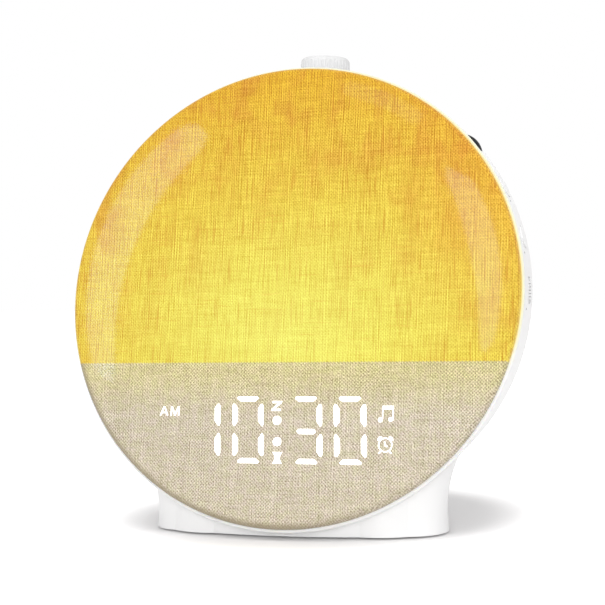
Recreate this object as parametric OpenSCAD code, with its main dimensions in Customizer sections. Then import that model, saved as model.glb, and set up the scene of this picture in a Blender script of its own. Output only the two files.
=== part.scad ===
// Sunrise alarm clock: a leaning linen-covered light disc on a round white
// housing with an oval foot. Origin under the middle of the clock, on the
// table; +X to the viewer's right, +Y to the back, +Z up. Millimetres.

/* [Front disc] */
// Outer diameter of the linen-covered front
fabric_d = 180; // [176:1:190]
// Lean of the front, back from the vertical
face_lean = 12; // [8:1:14]
// Height of the front's centre above the table
face_z = 92.7; // [92:0.1:98]
// Thickness of the stretched linen
fabric_t = 0.8; // [0.5:0.1:1]
// Radius of the linen's rolled edge
fabric_edge_r = 2.2; // [1.6:0.1:2.6]
// Thickness of the translucent front panel
panel_t = 2.4; // [2.2:0.1:3]
// How far the light ring stands out past the linen
ring_proud = 1.2; // [0.8:0.1:2]
// Thickness of the light ring
ring_t = 3; // [2.8:0.1:4]
// Radial width of the light ring's inner lip and rim together
ring_w = 12.2; // [11.8:0.1:13]
// Rise of the dividing line above the digits' middle
divider_rise = 25.6; // [24:0.1:27]

/* [Housing] */
// How far the housing's wall lies inside the linen's edge
body_inset = 2; // [1.5:0.1:3]
// Depth from the front's centre to the flat back
body_depth = 64; // [63:0.5:70]
// Radius of the round between the side wall and the back
back_round = 26; // [20:1:28]
// Wall thickness of the housing
wall = 2.4; // [2:0.1:2.8]

/* [Foot] */
// Width of the foot at its waist
foot_w = 117; // [113:1:120]
// Depth of the foot at its waist
foot_d = 54; // [52:1:57]
// Bow radius of the foot's front and back walls
foot_bow_r = 170; // [150:5:200]
// Radius of the foot's front corners
foot_corner_r = 14; // [12:1:16]
// Radius of the foot's heels, its back corners
foot_heel_r = 24; // [22:1:26]
// Taper of the foot's sides towards the back
foot_taper = 12.7; // [10:0.1:14]
// Distance from the front's centre back to the foot's middle
foot_back = 16.5; // [15:0.5:18]
// Height of the foot's waist above the table
foot_waist = 8; // [6:0.5:10]
// Height of the rubber pads below the foot
foot_pad_rise = 0.8; // [0.5:0.1:1]
// Thickness of the base plate
base_t = 2.4; // [2.2:0.1:3]
// Radius of a rubber pad
pad_r = 5; // [4:0.5:6]
// Thickness of a rubber pad
pad_t = 2; // [1.8:0.1:2.2]

/* [Display] */
// Height of a digit
digit_h = 25.4; // [23:0.2:27]
// Width of a digit
digit_w = 13.8; // [12.6:0.2:14.6]
// Distance between the digits of a pair
digit_pitch = 17.2; // [16.6:0.2:18]
// Distance between the middles of the hour pair and the minute pair
pair_pitch = 40.8; // [40:0.2:42]
// Gap between the lowest sign's corner and the display's round rim
sign_clear = 1; // [0.6:0.1:2]
// Gap between the digits and the signs beside them
sign_gap = 3; // [2.6:0.1:3.6]
// Side of the square windows of the two signs right of the digits
sign_w = 7.4; // [7:0.1:7.6]
// Width of the morning mark's window
mark_w = 10; // [8:0.5:10.5]
// Height of the morning mark's window
mark_h = 5; // [4:0.5:5.5]
// Shift of the colon from the front's centre line
display_shift = -1.6; // [-3:0.1:0]
// Width of a segment
segment_w = 2.9; // [2.4:0.1:3.1]
// Gap between two neighbouring segments
segment_gap = 1.2; // [0.9:0.1:1.5]
// Thickness of the display frame
display_t = 6; // [5:0.5:6.5]

/* [Knob] */
// Diameter of the top knob
knob_d = 20; // [18:0.5:22]
// Height of the top knob
knob_h = 15; // [13:0.5:16]
// Press travel of the knob
knob_travel = 0.6; // [0.4:0.1:0.7]
// Turn of the knob's place from the top centre towards the right
knob_turn = 2.5; // [0:0.5:4]
// Distance of the knob's axis in front of the flat back
knob_inset = 18; // [17:0.5:20]
// Depth of the knob's well below the round wall
well_depth = 9; // [8:0.5:10]
// Gap all round the knob in its well
well_gap = 1.2; // [1:0.1:1.6]
// Number of flutes round the knob
knob_flutes = 36; // [24:1:40]
// Radius of the control shaft
shaft_r = 3; // [2.5:0.1:3.2]

/* [Side controls] */
// Angle of the black button from the top of the housing
control_turn = 50.3; // [48:0.1:52]
// Angle between neighbouring side controls
control_pitch = 13.6; // [13:0.1:14]
// Distance of the side controls behind the front's centre
control_back = 34; // [32:0.5:35]
// Radius of a button's cap
button_r = 4.3; // [3.8:0.1:4.6]
// Rise of the black button's dome above the wall
dome_rise = 1.2; // [1:0.1:2]
// Rise of the white buttons above the wall
button_rise = 0.3; // [0.2:0.1:0.8]
// Press travel of a side button
button_travel = 0.7; // [0.5:0.1:0.8]
// Gap between a button and its hole
button_gap = 0.2; // [0.15:0.05:0.3]
// Length of the ribbed slider's cap along its slot
slider_l = 8; // [7.4:0.2:9]
// Width of the ribbed slider's cap
slider_w = 5; // [4.4:0.2:5.6]
// Travel of the slider each way from the middle
slider_travel = 1; // [0.8:0.1:1.3]

/* [Back] */
// Radius of the speaker's flange
speaker_r = 22; // [20:0.5:23]
// Depth of the speaker
speaker_depth = 20; // [18:0.5:21]
// Rise of the speaker's centre above the front's centre
speaker_rise = 26; // [24:0.5:28]
// Radius of one grille hole
grille_hole_r = 0.9; // [0.7:0.1:1]
// Distance between grille holes
grille_pitch = 3.6; // [3.2:0.1:4]
// Bore radius of the power inlet
jack_r = 3.1; // [2.8:0.1:3.3]
// Radius of the power inlet's centre pin
jack_pin_r = 1; // [0.8:0.1:1.2]
// Width of the battery door
door_w = 30; // [28:0.5:32]
// Height of the battery door
door_h = 30; // [30:0.5:33]
// Radius of the coin cell
cell_r = 10; // [8:0.5:10]
// Thickness of the coin cell
cell_t = 3.2; // [2:0.1:3.2]

/* [Inside] */
// Thickness of every circuit board
board_t = 1.6; // [1.2:0.1:1.8]
// Wall thickness of the inner chassis
chassis_t = 1.6; // [1.4:0.1:2]
// Depth of the light bowl from the front to its floor
bowl_s = 26; // [24:0.5:27]
// Gap between the light bowl's wall and the side boards
bowl_side_gap = 2.2; // [1:0.1:3]
// Width of the main board
main_board_w = 92; // [86:1:94]
// Height of the main board
main_board_h = 52; // [50:1:53]
// Height of the main board's lower edge above the table
main_board_z = 35; // [34:0.5:38]
// Free depth between the main board and the housing's back
main_board_gap = 9.6; // [9.4:0.1:10.4]
// Number of sunrise lamps along the widest row
lamp_columns = 7; // [5:2:9]

/* [Hidden] */
$fn = 96;

// Clearances
seat = 0.1;          // between a loose inner piece and its pocket
plate_gap = 0.25;    // round an inset cover or door
run_gap = 0.05;      // running fit of a shaft in its bore
rest_gap = 0.3;      // between a retained flange and the wall it rests on
far = 400;           // longer than the clock in any direction

// Front disc, measured as depth s behind the linen's face
fabric_r = fabric_d / 2;
ring_s = fabric_t + panel_t;
ring_r = fabric_r + ring_proud;
ring_edge_r = 0.8;
lip_t = 2;
lip_r = ring_r - ring_w;
skirt_in = 8.2;
skirt_r = ring_r - skirt_in;
skirt_w = 1.6;
skirt_l = 2;
housing_s = ring_s + ring_t;

// Housing
body_r = fabric_r - body_inset;
front_reach = fabric_edge_r + (fabric_r - fabric_edge_r) * sin(face_lean)
    - fabric_edge_r * cos(face_lean);
face_y = (front_reach - body_depth) / 2;
back_y = body_depth - wall;

// Foot: a plan of arcs whose wall flares up into the round housing. The corners
// touch the front bow and the sides, and the heels touch the sides and the back bow
foot_half = foot_w / 2;
bow_y = foot_bow_r - foot_d / 2;
corner_x = foot_half - foot_corner_r;
corner_y = bow_y - sqrt(pow(foot_bow_r - foot_corner_r, 2) - corner_x * corner_x);
side_out = [cos(foot_taper), sin(foot_taper)];
side_along = [-sin(foot_taper), cos(foot_taper)];
side_x = [corner_x, corner_y] * side_out + foot_corner_r;
heel_swing = foot_bow_r - foot_heel_r;
heel_turn = foot_taper + acos((side_x - foot_heel_r + bow_y * side_out[1]) / heel_swing);
heel_x = heel_swing * cos(heel_turn);
heel_y = heel_swing * sin(heel_turn) - bow_y;
corner_proud = 0.03;  // rise of the round corners past the walls that they run into
bow_overlap = 4;      // how far each bow's solid runs past the foot's middle
neck_drop = face_z - foot_waist;
neck_r = (neck_drop * neck_drop + foot_half * foot_half - body_r * body_r)
    / (2 * (body_r - foot_half));
neck_top = face_z - body_r * neck_drop / (body_r + neck_r);

// Base: screws beside the foot's front corners, and four pads
base_top = foot_pad_rise + base_t;
base_boss_in = 9.5;
base_boss_r = 4;
base_boss_top = 20;
base_screw_r = 1.2;
base_screw_l = 12;
base_head_r = 2.8;
base_head_t = 1.4;
pad_x = foot_half - 24;
pad_y = foot_d / 2 - pad_r - 7;

// Display: the lowest sign's corner near the round rim sets how low the digits sit
tray_in = 1.4;
tray_r = lip_r - tray_in;
tray_s = ring_s + seat + display_t + board_t;
display_r = tray_r - 0.4;
digit_x = [for (pair = [-1, 1], d = [-1, 1])
    display_shift + pair * pair_pitch / 2 + d * digit_pitch / 2];
sign_x = digit_x[3] + digit_w / 2 + sign_gap + sign_w / 2;
mark_x = digit_x[0] - digit_w / 2 - sign_gap - mark_w / 2;
sign_rise = [-5.4, 6];     // middles of the two signs above the digits' middle
mark_rise = 6.8;
colon_rise = 4;
colon_r = 1.75;
snooze_rise = 9.9;         // middles of the signs above and below the colon
snooze_size = [3.6, 4];
display_margin = 3;        // solid frame above and below the digits
display_half = max(sign_x + sign_w / 2, mark_w / 2 - mark_x) + 5.5;
digit_drop = sqrt(pow(display_r - sign_clear, 2) - pow(sign_x + sign_w / 2, 2))
    + sign_rise[0] - sign_w / 2;

// Chassis and light bowl
flange_r = skirt_r - 0.4;
flange_t = 2;
flange_s = ring_s + lip_t;
shelf_v = divider_rise - digit_drop;
chassis_boss_r = 4;
upper_boss = [37, 69] * fabric_r / 90;
lower_boss = [62, -34] * fabric_r / 90;
upper_boss_s = 18;
lower_boss_s = tray_s + 7;
boss_screw_r = 1.25;
boss_screw_l = 7;
counterbore_r = 3.2;
counterbore_web = 4;
ring_screw_r = 1;
ring_screws_n = 6;
lamp_screw_r = 0.85;

// Main board and what it carries
main_board_y = back_y - main_board_gap - board_t;
standoff_r = 3;
standoff_inset = 6;
board_screw_r = 1;
jack_x = 28;
jack_z = 46;
jack_body_r = 5.4;
jack_neck_r = jack_body_r - 0.6;
jack_depth = 8;
door_x = -24;
door_z = 56;
door_t = 1.4;
door_lip = 3;
door_foot = 5;
door_boss_r = 2.3;
door_screw_r = 0.9;
door_head_r = 1.9;
cell_z = door_z + (door_foot - door_lip) / 2;

// Speaker and grille
speaker_z = face_z + speaker_rise;
speaker_hole_r = speaker_r - 4;
grille_r = speaker_r - 2;
grille_t = 1.2;
speaker_flange_t = 1.6;
speaker_screw_r = 0.85;
basket_t = 1.4;
magnet_r = speaker_r / 2;
magnet_t = speaker_depth * 0.4;
coil_hole_r = magnet_r - 4;
basket_y = back_y - speaker_depth + magnet_t;

// Knob, measured as radius rho from the housing's axis
knob_back = body_depth - knob_inset;
well_floor = body_r - well_depth;
well_r = knob_d / 2 + well_gap;
knob_foot = well_floor + 0.4 + knob_travel;
knob_top = knob_foot + knob_h;
bushing_r = shaft_r + 0.6;
nut_t = 1.8;
knob_board_w = 20;
knob_board_d = 16;
encoder_w = 12;
encoder_h = 6;
encoder_top = well_floor - wall;
cavity_top = encoder_top - 1.4;
shaft_foot = cavity_top - 1.9;
shaft_top = knob_top - 2.8;
knob_edge_r = 2.6;
knob_wall = 2.2;
knob_crown_t = 3.4;
knob_dish = 0.5;
knob_dish_r = 60;
flute_r = 0.55;
flute_out = 0.2;      // flute's centre outside the knob's wall

// Side controls, measured as radius rho from the housing's axis
side_board_rho = 70.8 * fabric_r / 90;
side_board_turn = [for (i = [0.5, 2.5]) control_turn + i * control_pitch];
side_board_l = 28;
side_board_y = [-8.5, 11.5];

// Light bowl: its wall runs from the tray's edge past the upper side board's front edge
bowl_edge_s = flange_s + 1;
edge_rho = side_board_rho - board_t;
edge_rise = edge_rho * cos(side_board_turn[0]);
edge_y = control_back + side_board_y[0];
edge_s = edge_y * cos(face_lean) - edge_rise * sin(face_lean);
edge_r = norm([edge_rho * sin(side_board_turn[0]),
    edge_rise * cos(face_lean) + edge_y * sin(face_lean)]);
bowl_drop = tray_r - edge_r + bowl_side_gap + chassis_t;
bowl_floor_r = tray_r - bowl_drop * (bowl_s - bowl_edge_s) / (edge_s - bowl_edge_s);
side_post_y = [-6.2, 8.5];
side_post_r = 2.3;
switch_w = 6;
switch_h = 3.5;
switch_stem = 1;
slide_switch_l = 10;
slide_switch_w = 5.2;
slide_pin_r = 1;
slide_reach = slider_travel + slide_pin_r + 0.4;
button_flange_r = button_r + 1.1;
button_flange_t = 1.4;
button_stem_r = 1.6;
button_flange_rho = sqrt(pow(body_r - wall, 2) - pow(button_flange_r, 2)) - rest_gap;
button_stem_rho = (side_board_rho + switch_h + switch_stem) / cos(control_pitch / 2)
    + 0.5 + button_travel;
slot_l = slider_l + 2 * slider_travel + 0.6;
slot_w = slider_w + 2 * button_gap;
ribs = 6;
rib_t = 0.8;
slider_flange_t = 1.6;
slider_flange_lip = 0.8;
slider_flange_l = slot_l + 2 * slider_travel + 1;
slider_flange_rho = sqrt(pow(body_r - wall, 2)
    - pow(slider_flange_l / 2 + slider_travel, 2)) - rest_gap;

// Colours
WHITE = [0.93, 0.93, 0.92];
LINEN = [0.80, 0.74, 0.62];
GLOW = [1, 0.94, 0.66];
MILKY = [0.95, 0.95, 0.93];
BLACK = [0.05, 0.05, 0.05];
BOARD = [0.05, 0.30, 0.16];
STEEL = [0.66, 0.67, 0.69];

// ---- Placing ----

// Face frame: X right, Y depth behind the linen's face, Z up the leaning face
module on_face() {
    translate([0, face_y, face_z]) rotate([-face_lean, 0, 0]) children();
}

// Upright frame at the front's centre, with Z still measured from the table
module on_body() {
    translate([0, face_y, 0]) children();
}

// Z runs out from the housing's axis, turned from the top towards the right
module on_rim(turn, y) {
    translate([0, face_y, face_z]) rotate([0, turn, 0]) translate([0, y, 0]) children();
}

// Turns a profile of radius and depth about the depth axis
module turned() {
    rotate([-90, 0, 0]) rotate_extrude() children();
}

// Gives a flat outline of X and Z a thickness along Y, from y0 to y1
module slab(y0, y1) {
    translate([0, y1, 0]) rotate([90, 0, 0]) linear_extrude(y1 - y0) children();
}

module rod_y(r, y0, y1) {
    translate([0, y0, 0]) rotate([-90, 0, 0]) cylinder(r = r, h = y1 - y0);
}

module rod_z(r, z0, z1) {
    translate([0, 0, z0]) cylinder(r = r, h = z1 - z0);
}

module block(x, y, z) {
    translate([x[0], y[0], z[0]]) cube([x[1] - x[0], y[1] - y[0], z[1] - z[0]]);
}

module both_sides() {
    children();
    mirror([1, 0, 0]) children();
}

// A screw with its head standing on Z = 0 and its shank below
module screw(shank_r, shank_l, head_r, head_t) {
    difference() {
        union() {
            rod_z(head_r, 0, head_t);
            rod_z(shank_r, -shank_l, 0);
        }
        for (turn = [0, 90]) rotate(turn)
            block([-head_r * 0.6, head_r * 0.6], [-head_r * 0.12, head_r * 0.12],
                [head_t * 0.5, head_t + 1]);
    }
}

// ---- Housing form ----

// Half profile of the round housing, radius against depth
module drum_profile(inset) {
    translate([0, -far / 4])
        square([body_r - inset, far / 4 + body_depth - back_round]);
    square([body_r - back_round, body_depth - inset]);
    intersection() {
        translate([body_r - back_round, body_depth - back_round]) circle(back_round - inset);
        translate([body_r - back_round - 1, body_depth - back_round - 1])
            square([back_round + 1, back_round + 1]);
    }
}

module drum(inset) {
    translate([0, face_y, face_z]) turned() drum_profile(inset);
}

// Profile of the foot's wall: a hollow arc, narrowest at the waist, or upright
module foot_profile(r0, inset, r_in, flared) {
    if (flared) {
        difference() {
            translate([r_in, 0]) square([r0 + neck_r / 2 - r_in, neck_top]);
            translate([r0 + neck_r, foot_waist]) circle(neck_r + inset);
        }
    } else {
        translate([r_in, 0]) square([r0 - inset - r_in, neck_top]);
    }
}

// A bow of the foot's front wall that ends at x to either side, over the foot's middle
module foot_bow(x, corner_r, inset, flared) {
    turn = asin(x / (foot_bow_r - corner_r));
    translate([0, bow_y, 0]) rotate(-90 - turn) rotate_extrude(angle = 2 * turn)
        foot_profile(foot_bow_r, inset + corner_proud, bow_y - bow_overlap, flared);
}

// The foot as its plan of arcs, its wall moved in by inset
module foot(inset, flared = true) {
    translate([0, face_y + foot_back, 0]) {
        both_sides() {
            translate([corner_x, corner_y, 0])
                rotate_extrude() foot_profile(foot_corner_r, inset, 0, flared);
            translate([heel_x, heel_y, 0])
                rotate_extrude() foot_profile(foot_heel_r, inset, 0, flared);
            rotate(foot_taper) slab([corner_x, corner_y] * side_along, [heel_x, heel_y] * side_along)
                foot_profile(side_x, inset + corner_proud, side_x - foot_heel_r, flared);
        }
        foot_bow(corner_x, foot_corner_r, inset, flared);
        rotate(180) foot_bow(heel_x, foot_heel_r, inset, flared);
    }
}

// Everything at least s behind the linen's face
module behind(s) {
    on_face() block([-far, far], [s, far], [-far, far]);
}

module housing_form(inset) {
    drum(inset);
    foot(inset);
}

// ---- Front disc ----

// Half profile of a disc with its front edge rounded
module disc_profile(r, edge_r, depth) {
    translate([0, edge_r]) square([r, depth - edge_r]);
    square([r - edge_r, depth]);
    intersection() {
        translate([r - edge_r, edge_r]) circle(edge_r);
        square([r, edge_r]);
    }
}

module fabric_cover() {
    color(LINEN) on_face() turned() difference() {
        disc_profile(fabric_r, fabric_edge_r, ring_s);
        translate([0, fabric_t])
            disc_profile(fabric_r - fabric_t, fabric_edge_r - fabric_t, ring_s);
    }
}

module front_panel() {
    color(MILKY) on_face() turned() translate([0, fabric_t])
        disc_profile(fabric_r - fabric_t, fabric_edge_r - fabric_t, panel_t);
}

module light_ring() {
    color(GLOW) on_face() difference() {
        turned() {
            translate([lip_r, ring_s]) square([ring_w - ring_edge_r, lip_t]);
            translate([skirt_r, ring_s]) square([ring_r - ring_edge_r - skirt_r, ring_t]);
            translate([skirt_r, ring_s + ring_edge_r])
                square([ring_r - skirt_r, ring_t - 2 * ring_edge_r]);
            for (s = [ring_edge_r, ring_t - ring_edge_r])
                translate([ring_r - ring_edge_r, ring_s + s]) circle(ring_edge_r);
            translate([skirt_r, housing_s - 1]) square([skirt_w, skirt_l + 1]);
        }
        ring_screw_places() rod_y(ring_screw_r + run_gap, 0.6, lip_t + 1);
    }
}

// Six places on the lip, with Y = 0 at the lip's front
module ring_screw_places() {
    for (i = [0 : ring_screws_n - 1]) rotate([0, i * 360 / ring_screws_n, 0])
        translate([0, ring_s, (lip_r + flange_r) / 2 + 0.3]) children();
}

module ring_screws() {
    color(STEEL) on_face() ring_screw_places()
        translate([0, lip_t + flange_t, 0]) rotate([-90, 0, 0])
            screw(ring_screw_r, lip_t + flange_t - 0.8, 1.5, 1);
}

module chassis_boss_places() {
    both_sides() {
        translate([upper_boss[0], upper_boss_s, upper_boss[1]]) children();
        translate([lower_boss[0], lower_boss_s, lower_boss[1]]) children();
    }
}

// Half outline of the bowl above the divider: a cone from the flange to its floor
module bowl_profile(grow) {
    polygon([
        [0, flange_s - (grow > 0 ? 0 : 1)], [tray_r + grow, flange_s - (grow > 0 ? 0 : 1)],
        [tray_r + grow, bowl_edge_s], [bowl_floor_r + grow, bowl_s + grow],
        [0, bowl_s + grow]
    ]);
}

module above(v) {
    block([-far, far], [-far, far], [v, far]);
}

module below(v) {
    block([-far, far], [-far, far], [-far, v]);
}

// One moulding: flange ring, light bowl, dark shelf and display tray
module front_chassis() {
    color(WHITE) on_face() difference() {
        union() {
            rod_y(flange_r, flange_s, flange_s + flange_t);
            intersection() {
                turned() bowl_profile(chassis_t);
                above(shelf_v - chassis_t);
            }
            intersection() {
                rod_y(tray_r + chassis_t, flange_s, tray_s + chassis_t);
                below(shelf_v);
            }
            intersection() {
                union() {
                    rod_y(lip_r - 1, ring_s + seat, flange_s + 1);
                    turned() bowl_profile(chassis_t);
                }
                block([-far, far], [0, far], [shelf_v - chassis_t, shelf_v]);
            }
            chassis_boss_places() rod_y(chassis_boss_r, flange_s - upper_boss_s, 0);
        }
        intersection() {
            turned() bowl_profile(0);
            above(shelf_v);
        }
        intersection() {
            rod_y(tray_r, ring_s, tray_s);
            below(shelf_v - chassis_t);
        }
        chassis_boss_places() rod_y(boss_screw_r + run_gap, -boss_screw_l, 1);
        ring_screw_places() rod_y(ring_screw_r + 0.2, lip_t - 1, lip_t + flange_t + 1);
        lamp_board_screw_places() rod_y(lamp_screw_r + run_gap, -1, chassis_t + 0.01);
    }
}

// ---- Sunrise lamps ----

lamp_board_s = bowl_s - board_t;
lamp_board_r = bowl_floor_r - 1;
lamp_pitch = 2 * lamp_board_r / (lamp_columns + 0.6);
lamp_w = 3.5;
lamp_t = 1;
LAMP_SCREWS = [[0, 52], [-46, 6], [46, 6]] * fabric_r / 90;

module lamp_board_screw_places() {
    for (p = LAMP_SCREWS) translate([p[0], bowl_s, p[1]]) children();
}

module sunrise_board() {
    color(WHITE) on_face() difference() {
        intersection() {
            rod_y(lamp_board_r, lamp_board_s, bowl_s);
            above(shelf_v + 1);
        }
        lamp_board_screw_places() rod_y(lamp_screw_r + 0.25, -board_t - 1, 1);
    }
}

module sunrise_board_screws() {
    color(STEEL) on_face() lamp_board_screw_places()
        translate([0, -board_t, 0]) rotate([90, 0, 0])
            screw(lamp_screw_r, board_t + chassis_t - 0.2, 1.8, 1);
}

module sunrise_leds() {
    half = floor(lamp_columns / 2);
    color(GLOW) on_face()
        for (i = [-half : half], k = [0 : lamp_columns]) {
            x = i * lamp_pitch;
            v = shelf_v + 10 + k * lamp_pitch * 0.8;
            clear = min([for (p = LAMP_SCREWS) norm([x, v] - p)]);
            if (norm([x, v]) < lamp_board_r - 5 && clear > 5)
                block([x - lamp_w / 2, x + lamp_w / 2], [lamp_board_s - lamp_t, lamp_board_s],
                    [v - lamp_w / 2, v + lamp_w / 2]);
        }
}

// ---- Display ----

display_s = ring_s + seat;
display_back = display_s + display_t;
segment_h = (digit_h - segment_w) / 2;
segment_across = digit_w - segment_w;

// Segments a to g as middle points in segment units, and whether each stands up
SEGMENTS = [
    [[0, 1], false], [[0.5, 0.5], true], [[0.5, -0.5], true], [[0, -1], false],
    [[-0.5, -0.5], true], [[-0.5, 0.5], true], [[0, 0], false]
];
// Which segments light for each digit shown
LIT = [
    [0, 1, 1, 0, 0, 0, 0], [1, 1, 1, 1, 1, 1, 0],
    [1, 1, 1, 1, 0, 0, 1], [1, 1, 1, 1, 1, 1, 0]
];

// A segment with its ends cut to a blunt point
module segment_outline(length, grow) {
    w = segment_w / 2 + grow;
    l = length / 2 + grow;
    tip = w * 0.45;
    polygon([[-l, -w + tip], [-l + tip, -w], [l - tip, -w], [l, -w + tip],
        [l, w - tip], [l - tip, w], [-l + tip, w], [-l, w - tip]]);
}

module segment_at(i, grow) {
    place = SEGMENTS[i][0];
    upright = SEGMENTS[i][1];
    length = upright ? segment_h - segment_w * 0.5 - segment_gap
        : segment_across - segment_w * 0.5 - segment_gap;
    translate([place[0] * segment_across, place[1] * segment_h])
        rotate(upright ? 90 : 0) segment_outline(length, grow);
}

// All segments of the four digits that are lit, or all that are not
module segments(lit, grow) {
    for (d = [0 : 3], i = [0 : 6]) if (LIT[d][i] == lit)
        translate([digit_x[d], -digit_drop]) segment_at(i, grow);
}

// The colon and the round or square windows of the small signs
module icon_windows(grow) {
    more = [2 * grow, 2 * grow];
    for (side = [-1, 1]) translate([display_shift, side * colon_rise - digit_drop])
        circle(r = colon_r + grow);
    for (side = [-1, 1]) translate([display_shift, side * snooze_rise - digit_drop])
        square(snooze_size + more, center = true);
    translate([mark_x, mark_rise - digit_drop]) square([mark_w, mark_h] + more, center = true);
    for (rise = sign_rise) translate([sign_x, rise - digit_drop])
        square([sign_w, sign_w] + more, center = true);
}

module display_outline(inset) {
    intersection() {
        circle(r = display_r - inset);
        translate([0, -digit_drop]) square([2 * (display_half - inset),
            digit_h + 2 * (display_margin - inset)], center = true);
    }
}

module display_frame() {
    color(BLACK) on_face() difference() {
        slab(display_s, display_back) display_outline(0);
        slab(display_s - 1, display_back + 1) {
            segments(1, seat);
            segments(0, seat);
            icon_windows(seat);
        }
    }
}

lens_back = display_back - 1.4;

module lit_segments() {
    color(GLOW) on_face() slab(display_s, lens_back) segments(1, 0);
}

module unlit_segments() {
    color(MILKY) on_face() slab(display_s, lens_back) segments(0, 0);
}

module display_icon_lenses() {
    color(GLOW) on_face() slab(display_s, lens_back) icon_windows(0);
}

module display_board() {
    color(BOARD) on_face() slab(display_back, tray_s) display_outline(0);
}

module display_leds() {
    color(GLOW) on_face() translate([0, 0, -digit_drop])
        for (x = digit_x, i = [0 : 6]) {
            place = SEGMENTS[i][0];
            translate([x + place[0] * segment_across, 0, place[1] * segment_h])
                block([-0.8, 0.8], [display_back - 0.8, display_back], [-0.8, 0.8]);
        }
}

// ---- Rear housing ----

module main_board_corners() {
    for (x = [-1, 1], z = [0, 1])
        translate([x * (main_board_w / 2 - standoff_inset), 0,
            main_board_z + (z == 0 ? standoff_inset : main_board_h - standoff_inset)]) children();
}

module side_boards() {
    for (turn = side_board_turn) on_rim(turn, control_back) children();
}

module base_screw_places() {
    both_sides() translate([foot_half - base_boss_in, face_y + foot_back + corner_y, 0]) children();
}

module speaker_screw_places() {
    for (turn = [45 : 90 : 315]) translate([0, 0, speaker_z]) rotate([0, turn, 0])
        translate([0, 0, speaker_r - 1.9]) children();
}

// Solid parts inside the shell: well, posts, bosses and ribs
module housing_inside() {
    on_rim(knob_turn, knob_back) rod_z(well_r + wall, encoder_top, body_r);
    on_face() chassis_boss_places() rod_y(chassis_boss_r, 0, far / 4);
    on_body() {
        main_board_corners() rod_y(standoff_r, main_board_y + board_t, body_depth);
        translate([door_x, 0, door_z - door_h / 2 + door_foot / 2])
            rod_y(door_boss_r, back_y - 5, body_depth);
    }
    side_boards() for (y = side_post_y) translate([0, y, 0])
        rod_z(side_post_r, side_board_rho, body_r);
}

module base_bosses() {
    base_screw_places() {
        rod_z(base_boss_r, base_top, base_boss_top);
        block([0, base_boss_in - wall / 2], [-1, 1], [base_top, base_boss_top]);
    }
}

module speaker_place() {
    on_body() translate([0, 0, speaker_z]) children();
}

module rear_housing() {
    color(WHITE) difference() {
        union() {
            difference() {
                intersection() {
                    housing_form(0);
                    behind(housing_s);
                    translate([0, 0, foot_pad_rise]) above(0);
                }
                difference() {
                    housing_form(wall);
                    housing_inside();
                }
            }
            base_bosses();
        }
        // Well and encoder hole under the knob
        on_rim(knob_turn, knob_back) {
            rod_z(well_r, well_floor, far / 2);
            rod_z(bushing_r + seat, encoder_top - 1, far / 2);
        }
        // Screw wells for the front chassis
        on_face() chassis_boss_places() {
            rod_y(boss_screw_r + 0.2, -1, far / 4);
            rod_y(counterbore_r, counterbore_web, far / 4);
        }
        // Side controls
        for (i = [0 : 2]) on_rim(control_turn + i * control_pitch, control_back)
            rod_z(button_r + button_gap, side_board_rho + 8, far / 2);
        on_rim(control_turn + 3 * control_pitch, control_back)
            block([-slot_l / 2, slot_l / 2], [-slot_w / 2, slot_w / 2],
                [side_board_rho + 8, far / 2]);
        side_boards() for (y = side_post_y) translate([0, y, 0])
            rod_z(board_screw_r + run_gap, side_board_rho - 1, side_board_rho + 7);
        // Speaker window with its grille recess
        speaker_place() {
            rod_y(speaker_hole_r, back_y - 1, far / 2);
            rod_y(grille_r, body_depth - grille_t, far / 2);
        }
        on_body() {
            speaker_screw_places()
                rod_y(speaker_screw_r + run_gap, back_y - 1, back_y + wall - grille_t - 0.3);
            main_board_corners()
                rod_y(board_screw_r + run_gap, main_board_y, main_board_y + board_t + 8);
            // Power inlet
            translate([jack_x, 0, jack_z]) rod_y(jack_neck_r + seat, back_y - 1, far / 2);
            // Battery door
            translate([door_x, 0, door_z]) {
                block([-door_w / 2, door_w / 2], [body_depth - door_t, far / 2],
                    [-door_h / 2, door_h / 2]);
                block([-door_w / 2 + door_lip, door_w / 2 - door_lip], [back_y - 1, far / 2],
                    [-door_h / 2 + door_foot, door_h / 2 - door_lip]);
                translate([0, 0, -door_h / 2 + door_foot / 2])
                    rod_y(door_screw_r + run_gap, back_y - 4, far / 2);
            }
        }
        base_screw_places() rod_z(base_screw_r + run_gap, 0, base_boss_top - 4);
    }
}

module housing_screws() {
    color(STEEL) on_face() chassis_boss_places()
        translate([0, counterbore_web, 0]) rotate([-90, 0, 0])
            screw(boss_screw_r, counterbore_web + boss_screw_l - 0.5, counterbore_r - 0.4, 2);
}

// ---- Base ----

module pad_places() {
    for (x = [-1, 1], y = [-1, 1])
        translate([x * pad_x, face_y + foot_back + y * pad_y, 0]) children();
}

module base_plate() {
    color(WHITE) difference() {
        intersection() {
            foot(wall + plate_gap, flared = false);
            block([-far, far], [-far, far], [foot_pad_rise, base_top]);
        }
        pad_places() rod_z(pad_r + seat, 0, pad_t);
        base_screw_places() {
            rod_z(base_head_r + 0.4, 0, foot_pad_rise + base_head_t);
            rod_z(base_screw_r + 0.2, 0, far);
        }
    }
}

module rubber_feet() {
    color([0.25, 0.25, 0.26]) pad_places() rod_z(pad_r, 0, pad_t);
}

module base_screws() {
    color(STEEL) base_screw_places()
        translate([0, 0, foot_pad_rise + base_head_t]) rotate([180, 0, 0])
            screw(base_screw_r, base_screw_l, base_head_r, base_head_t - 0.2);
}

// ---- Main board and power ----

module main_board() {
    color(BOARD) on_body() difference() {
        block([-main_board_w / 2, main_board_w / 2], [main_board_y, main_board_y + board_t],
            [main_board_z, main_board_z + main_board_h]);
        main_board_corners()
            rod_y(board_screw_r + 0.2, main_board_y - 1, main_board_y + board_t + 1);
    }
}

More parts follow.
